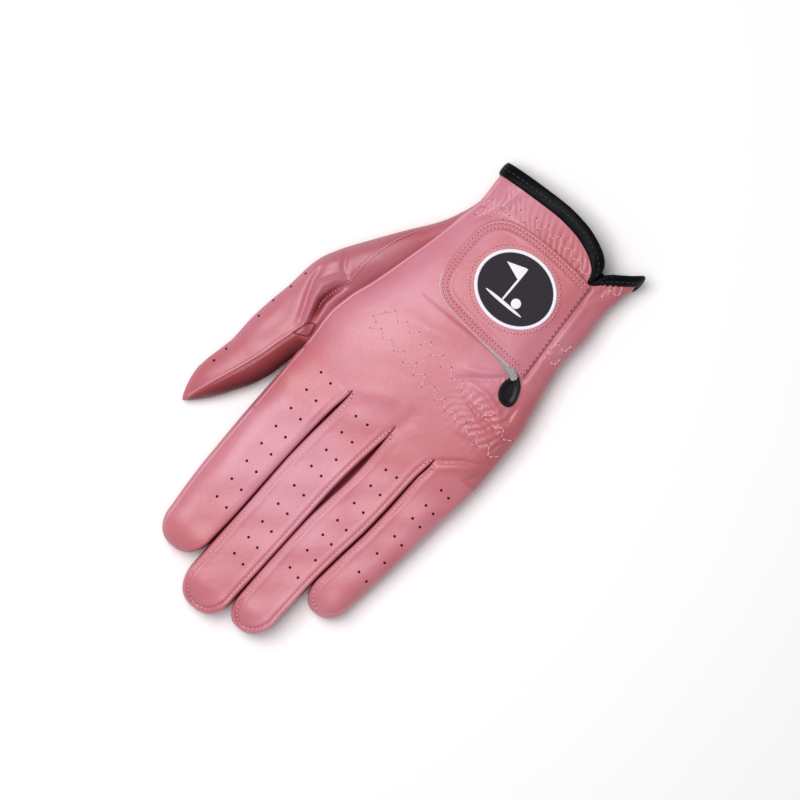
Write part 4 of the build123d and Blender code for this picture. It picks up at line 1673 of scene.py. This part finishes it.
@dataclass
class Finger:
    """One finger or thumb: its skin in two lengths that meet between its two joints, its stitches and its holes."""

    finishes: Finishes
    shape: FingerShape
    around: int = 144
    spacing: float = 0.65

    def joint(self, name: str) -> Array:
        """Place of one of the finger's joints, in drawing millimetres."""
        found = next(j for j in frame["joints"] if j["name"] == f"{self.shape.name}_{name}_bend")
        return np.array(found["pos_m"]) / MM - SHIFT

    def bend(self, piece: Piece, upper: bool) -> None:
        """Bakes a piece's transform into its mesh; points about the joint at the root of its length are worked out but
        not used.
        """
        knuckle, middle = self.joint("knuckle"), self.joint("middle")
        way = unit(middle - knuckle)
        if upper:
            in_row(middle - 7 * way)
            in_row(middle + 7 * way)
            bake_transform(piece)
        else:
            in_row(knuckle - 8 * way)
            in_row(knuckle + 9 * way)
            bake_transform(piece)

    def split(self) -> float:
        """y where the lower length ends: midway between the two bends, where both lengths are rigid."""
        return float((self.joint("knuckle")[1] + 9 + self.joint("middle")[1] - 7) / 2)

    def build(self) -> None:
        """Makes the finger's pieces."""
        shape, name, split = self.shape, self.shape.name, self.split()
        nose = shape.tip[1] - shape.nose
        lower = np.linspace(shape.start, split, int((split - shape.start) / self.spacing))
        straight = np.linspace(split, nose, int((nose - split) / self.spacing))
        over = nose + shape.nose * np.sin(np.radians(np.linspace(0, 89.4, 30)[1:]))
        nodes = [n for n in frame["nodes"] if n.startswith(f"{name}_")]
        for part, rows, end in (("lower", lower, False), ("upper", np.concatenate([straight, over]), True)):
            grid = shape.grid(rows, self.around)
            root = shape.start < 50 and not end
            skin = grid_mesh(f"{name}_{part}_leather", grid, True, start_pole=root, end_pole=end, tone=shape.tone(grid))
            dress(skin, self.finishes.leather)
            replaced = [n for n in nodes if n.startswith(f"{name}_{part}_")]
            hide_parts(*replaced, *(["thumb_gusset"] if root else []))
            self.bend(skin, end)
            self.sew(part, end, (0.0, split) if not end else (split, 999.0))
        LOG.info("%s finger: split %.0f, tip %.0f mm", name, split, shape.tip[1])

    def sew(self, part: str, upper: bool, span: tuple[float, float]) -> None:
        """Makes one length's stitches, needle holes and punched holes.

        Args:
            part: Name of the length.
            upper: Whether it is the upper one.
            span: Lowest and highest y that belong to it.
        """
        shape, name = self.shape, self.shape.name
        thread = Thread(length=1.15, pitch=1.75, radius=0.25, proud=0.2)
        laid, marks = [], []
        for path in shape.seam_paths(SEAM_IN):
            middles, ways = thread.centres(path)
            keep = (middles[:, 1] >= span[0]) & (middles[:, 1] < span[1])
            middles, ways = middles[keep], ways[keep]
            points = shape.point(middles[:, 0], middles[:, 1])
            ahead = middles + 0.1 * ways
            normal = surface_normals(shape.point, middles[:, 0], middles[:, 1])
            laid.append(thread.lay(points, unit(shape.point(ahead[:, 0], ahead[:, 1]) - points), normal))
            marks.append(punched(shape.point, middles + ways * thread.pitch / 2, radius=0.28))
        if sum(len(x) for x in laid):
            stitches = thread.sew(f"{name}_{part}_stitches", laid)
            dress(stitches, self.finishes.thread)
            self.bend(stitches, upper)
        holes = np.array([h for h in shape.holes if span[0] <= h[1] < span[1]], float)
        marks.append(punched(shape.point, holes, radius=0.76))
        self.bend(self.finishes.punch(f"{name}_{part}_holes", np.concatenate(marks)), upper)


def still(value: float) -> Stations:
    """A constant curve."""
    return Stations(((0, value), (1, value)))


FINGERS: tuple[FingerShape, ...] = (
    FingerShape(
        name="index",
        little_edge=Stations((
            (108, 24.0), (112, 24.2), (120, 25.4), (135, 26.6), (150, 27.4), (165, 27.8), (180, 28.2), (195, 29.2),
        )),
        thumb_edge=Stations(((108, 51.7), (120, 51.9), (150, 52.5), (170, 52.4), (182, 51.9), (195, 50.9))),
        tip=(40.3, 206.5),
        nose=13.5,
        thick=Stations(((108, 20.0), (125, 18.4), (160, 18.0), (190, 17.0))),
        forks=(111.5, 109.0),
        seams=(Side.LITTLE,),
        holes=tuple(
            (x, y + d)
            for y in (113, 122.3, 132.2, 141.8, 151, 160.4, 170, 179.5)
            for x, d in ((32.8, 0.0), (38.7, -1.0))
        ),
        bulges=(still(0.55), still(0.0)),
        seam_end=128.0,
    ),
    FingerShape(
        name="middle",
        little_edge=Stations((
            (108, 1.0), (114, 1.0), (120, 1.7), (130, 2.9), (140, 3.9), (150, 4.5), (165, 5.0), (180, 5.5),
            (205, 6.4),
        )),
        thumb_edge=Stations((
            (108, 24.0), (112, 23.8), (120, 24.4), (135, 25.9), (150, 26.9), (170, 27.2), (190, 27.9), (208, 28.4),
        )),
        tip=(17.2, 220.4),
        nose=13.0,
        thick=Stations(((108, 20.0), (125, 18.4), (160, 18.0), (205, 17.2))),
        forks=(114.0, 111.5),
        seams=(Side.THUMB, Side.LITTLE),
        holes=(
            (10.3, 116.3), (16.2, 116.6), (10.5, 125.8), (16.4, 125.4), (10.9, 135.5), (16.6, 135), (11.3, 144.6),
            (17, 144), (11.7, 155.2), (17.3, 154.6), (12, 165.4), (17.5, 164.6), (12.3, 175.2), (17.8, 174.4),
            (12.5, 184), (18, 183), (12.6, 193), (18.2, 191.8),
        ),
        bulges=(Stations(((112, 0.4), (125, 1.0), (140, 1.35), (155, 0.9), (170, 0.5))), still(0.5)),
    ),
    FingerShape(
        name="ring",
        little_edge=Stations((
            (108, -20.0), (113, -19.6), (120, -18.7), (135, -18.1), (150, -17.2), (165, -15.4), (180, -14.0),
            (200, -13.1),
        )),
        thumb_edge=Stations((
            (108, 1.0), (114, 0.8), (120, 0.7), (130, 0.9), (140, 1.6), (150, 2.9), (160, 4.1), (170, 4.7),
            (185, 5.2), (203, 5.6),
        )),
        tip=(-2.9, 215.0),
        nose=12.5,
        thick=Stations(((108, 20.0), (125, 18.2), (160, 17.8), (200, 16.8))),
        forks=(112.5, 114.0),
        seams=(Side.THUMB, Side.LITTLE),
        holes=(
            (-12.8, 125.2), (-7.4, 125.6), (-12.2, 135), (-6.8, 134.6), (-11.6, 145), (-6.2, 144.4), (-10.8, 155),
            (-5.5, 154.2), (-9.9, 163.4), (-4.7, 162.6), (-9.1, 172.6), (-3.9, 171.6), (-8.2, 182.7), (-3, 181.6),
        ),
        bulges=(still(0.55), Stations(((112, 0.4), (125, 1.0), (140, 1.35), (155, 0.9), (170, 0.5)))),
    ),
    FingerShape(
        name="little",
        little_edge=Stations(((108, -41.0), (120, -39.6), (135, -38.1), (150, -36.4), (165, -34.4), (180, -32.4))),
        thumb_edge=Stations((
            (108, -20.0), (113, -20.2), (120, -19.3), (135, -18.9), (150, -18.0), (165, -16.2), (180, -14.6),
        )),
        tip=(-23.2, 190.0),
        nose=11.5,
        thick=Stations(((108, 19.4), (125, 17.2), (160, 16.6), (180, 16.0))),
        forks=(109.0, 112.5),
        seams=(Side.THUMB,),
        holes=(
            (-34.6, 118), (-30.2, 117.4), (-33.9, 127), (-29.4, 126.2), (-33.2, 134.6), (-28.6, 133.8),
            (-32.3, 145.2), (-27.7, 144.2), (-31.6, 155.2), (-26.7, 154.2), (-30.8, 165.9), (-25.9, 164.8),
        ),
        bulges=(still(0.0), still(0.55)),
    ),
    ThumbShape(
        name="thumb",
        little_edge=Stations((
            (15, 27), (30, 31), (45, 36), (60, 41), (75, 47), (86, 50.6), (100, 50.8), (108, 50.4), (114, 51.9),
            (125, 54.0), (134, 57.4), (142, 62.2), (150, 67.6),
        )),
        thumb_edge=Stations((
            (15, 34.0), (20, 35.4), (31, 40.2), (45, 50.0), (58, 58.9), (68, 65.4), (76, 69.4), (82, 70.9),
            (92, 72.0), (105, 74.3), (116, 75.5), (124, 75.7), (131, 77.0), (138, 78.6), (145, 79.4), (151, 78.6),
        )),
        tip=(75.5, 157.8),
        nose=15.8,
        thick=Stations((
            (15, 9), (24, 11), (33, 13.2), (49, 16.0), (65, 17.6), (79, 18.2), (92, 18.0), (118, 17.8), (130, 17.0),
            (142, 15.0), (152, 12.0),
        )),
        forks=(0.0, 0.0),
        seams=(),
        holes=((69.8, 85), (71, 93), (73, 102), (73.4, 110.7), (75, 129.7), (75.7, 136.6)),
    ),
)


# ---------------------------------------------------------------- corded seams
@dataclass
class CordedSeam:
    """A thin roll of leather in a seam, half sunk in the surface, its paler colour a painted highlight."""

    finishes: Finishes
    name: str
    path: Array
    surface: Surface
    radius: float = 0.75
    lean: float = 0.75

    def build(self) -> Piece:
        """Makes the roll: an ellipse carried along the path on the surface."""
        plan = resample(self.path, int(np.linalg.norm(np.diff(self.path, axis=0), axis=1).sum() / 0.6))
        points = self.surface(plan[:, 0], plan[:, 1])
        normal = surface_normals(self.surface, plan[:, 0], plan[:, 1])
        along = np.linspace(0, 1, len(points))
        taper = 0.35 + 0.65 * np.minimum(ease(along / 0.03), ease((1 - along) / 0.03))
        width = self.radius * taper
        grid = sweep(points - 0.25 * self.radius * normal, normal, width, self.lean * width, roundness=2.0, around=12)
        cord = grid_mesh(self.name, grid, True, Winding.COLUMNS_FIRST, True, True)
        return dress(cord, self.finishes.highlit_piping)


@dataclass
class SeamLines:
    """The corded seams along the thumb side of the hand and the index finger, and the thumb's sewn band."""

    finishes: Finishes

    def build(self) -> None:
        """Makes the seams and the ladder of stitches in the web and the quirk."""
        y = np.linspace(2.0, FORK_Y - 0.5, 300)
        hand = np.stack([HAND.thumb_side(y) - 1.05, y], axis=1)
        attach(CordedSeam(self.finishes, "thumb_side_seam", hand, back_point).build(), "hand")
        index = Finger(self.finishes, FINGERS[0])
        shape, split = FINGERS[0], index.split()
        for part, low, high in (("lower", FORK_Y - 0.5, split), ("upper", split, 200.0)):
            y = np.linspace(low, high, 200)
            middle, half, _ = shape.plan(y)
            inside = 1.1 + 0.5 * ease((y - 112) / 25)
            line = np.stack([middle + half - inside, y], axis=1)
            cord = CordedSeam(self.finishes, f"index_{part}_side_seam", line, shape.point, radius=0.6)
            index.bend(cord.build(), part == "upper")
        thumb = Finger(self.finishes, FINGERS[4])
        web = smooth_path(((54.2, 77.2), (53.9, 68), (52.8, 60), (50.2, 50.8), (46.8, 43.6)))
        band = CordedSeam(self.finishes, "thumb_web_band", web, thumb.shape.point, radius=1.2, lean=0.24)
        thumb.bend(band.build(), False)
        split = thumb.split()
        for part, low, high in (("lower", 103.0, split), ("upper", split, 155.5)):
            y = np.linspace(low, high, 160)
            line = np.stack([thumb.shape.seam(y) + 0.3, y], axis=1)
            cord = CordedSeam(self.finishes, f"thumb_{part}_long_seam", line, thumb.shape.point, radius=0.42)
            thumb.bend(cord.build(), part == "upper")
        self.ladder(thumb, web, 1.3, "web")
        quirk = smooth_path(((54.6, 79.4), (56.4, 83.6), (57.2, 88.0), (56.8, 92.5)))
        self.ladder(thumb, quirk, 1.9, "quirk")
        self.crossing(thumb)
        LOG.info("corded seams: along the hand, the index finger and the thumb's web")

    @staticmethod
    def crossing_shade(distance: Array) -> Array:
        """Painted shade of the crossing piece: deep at its edge and lighter within."""
        return 0.2 + 0.6 * bell(distance, 0.5)

    def crossing(self, thumb: Finger) -> None:
        """The small three-cornered leather piece that bridges the quirk where the long seam starts."""
        corners = ((58.3, 106.6), (55.2, 105.9), (52.2, 104.0), (52.5, 100.6), (53.4, 98.2), (56.5, 100.8))
        outline = closed_curve(corners)
        height, shade = thumb.shape.height, self.crossing_shade
        pad = Pad(outline, height, thick=1.2, edge=0.4, foot=-0.3, rings=6, crown=0.3, shade=shade)
        piece = dress(pad.build("thumb_crossing_piece"), self.finishes.palm)
        thumb.bend(piece, False)

    def ladder(self, thumb: Finger, path: Array, width: float, name: str) -> None:
        """Stitches across a sewn band, with a needle hole at both ends of each.

        Args:
            thumb: The thumb that they are on.
            path: The band's middle line.
            width: Width of the band.
            name: Name of the band.
        """
        shape = thumb.shape
        thread = Thread(length=width, pitch=1.25, radius=0.15, proud=0.12)
        middles, ways = thread.centres(path)
        across = np.stack([-ways[:, 1], ways[:, 0]], axis=1) + 0.35 * ways
        normal = surface_normals(shape.point, middles[:, 0], middles[:, 1])
        ends = [middles + side * across * width / 2 for side in (-1, 1)]
        span = shape.point(ends[1][:, 0], ends[1][:, 1]) - shape.point(ends[0][:, 0], ends[0][:, 1])
        laid = thread.lay(shape.point(middles[:, 0], middles[:, 1]) + 0.22 * normal, unit(span), normal)
        stitches = thread.sew(f"thumb_{name}_ladder", [laid])
        dress(stitches, self.finishes.thread)
        thumb.bend(stitches, False)
        spots = np.concatenate(ends)
        normal = surface_normals(shape.point, spots[:, 0], spots[:, 1])
        marks = domes(shape.point(spots[:, 0], spots[:, 1]) + 0.16 * normal, normal, 0.2, 0.1)
        thumb.bend(self.finishes.punch(f"thumb_{name}_needle_holes", marks), False)


# ---------------------------------------------------------------- studio
@dataclass
class Studio:
    """A plain pale table, soft light from the thumb side and a camera straight above."""

    middle: tuple[float, float] = (6.6, 99.9)
    view_mm: float = 332.0
    distance: float = 1.6
    sensor_mm: float = 36.0
    table_half: float = 1.2
    table_z: float = -0.0004

    def build(self) -> None:
        """Makes the table, the lights and the camera."""
        scene = bpy.context.scene
        mesh = bpy.data.meshes.new("table")
        corners = [(a * self.table_half, b * self.table_half, self.table_z) for a, b in ((-1, -1), (1, -1), (1, 1),
        (-1, 1))]
        mesh.from_pydata(corners, [], [(0, 1, 2, 3)])
        table = bpy.data.objects.new("table", mesh)
        scene.collection.objects.link(table)
        t = Tree("white_table")
        table.data.materials.append(t.finish(Base_Color=(0.98, 0.98, 0.98, 1.0), Roughness=0.9))
        world = bpy.data.worlds.new("studio")
        scene.world = world
        world.use_nodes = True
        world.node_tree.nodes["Background"].inputs["Color"].default_value = (1.0, 1.0, 1.0, 1.0)
        world.node_tree.nodes["Background"].inputs["Strength"].default_value = 0.33
        self.light("key", (0.26, 0.0, 0.84), size=0.46, watts=5.1, colour=(1.0, 0.97, 0.97))
        self.light("top", (0.05, 0.1, 1.1), size=0.6, watts=2.9, colour=(0.96, 0.96, 1.0))
        scene.view_settings.view_transform = "Standard"
        x, y, _ = in_row(np.array([*self.middle, 0.0]))
        data = bpy.data.cameras.new("camera")
        data.lens = self.sensor_mm * self.distance / (self.view_mm * MM)
        data.clip_end = 10.0
        camera = bpy.data.objects.new("camera", data)
        right, up = (-0.766, -0.643, 0.0), (0.643, -0.766, 0.0)
        rows = [(right[0], up[0], 0.0, x), (right[1], up[1], 0.0, y), (0.0, 0.0, 1.0, self.distance)]
        camera.matrix_world = Matrix([*rows, (0.0, 0.0, 0.0, 1.0)])
        scene.collection.objects.link(camera)
        scene.camera = camera
        LOG.info("studio: camera %.2f m above the table", self.distance)

    @staticmethod
    def light(name: str, place: Triple, size: float, watts: float, colour: Triple) -> None:
        """A square area light that faces the middle of the glove."""
        data = bpy.data.lights.new(name, "AREA")
        data.size, data.energy, data.color = size, watts, colour
        lamp = bpy.data.objects.new(name, data)
        away = unit(np.array(place))
        side = unit(np.cross(np.array([0.0, 0.0, 1.0]), away))
        up = np.cross(away, side)
        lamp.matrix_world = Matrix([(side[k], up[k], away[k], place[k]) for k in range(3)] + [(0.0, 0.0, 0.0, 1.0)])
        bpy.context.scene.collection.objects.link(lamp)


def main() -> None:
    """Builds the glove and dresses the CAD nodes that still show."""
    logging.basicConfig(level=logging.INFO, format="%(message)s")
    finishes = Finishes()
    Studio().build()
    skin = HandSkin(finishes)
    skin.build()
    WristBinding(finishes, skin).build()
    ElasticRows(finishes).build()
    SlitEnd(finishes).build()
    tab = ClosureTab(finishes)
    tab.build()
    Badge(finishes, tab).build()
    for shape in FINGERS:
        Finger(finishes, shape).build()
    SeamLines(finishes).build()
    shown = {"loop_patch": finishes.loop, "knuckle_elastic": finishes.elastic, "wrist_elastic": finishes.elastic}
    for node, material in shown.items():
        carried = frame["nodes"][node]
        carried.data.materials.clear()
        carried.data.materials.append(material)


if __name__ == "__main__":
    main()
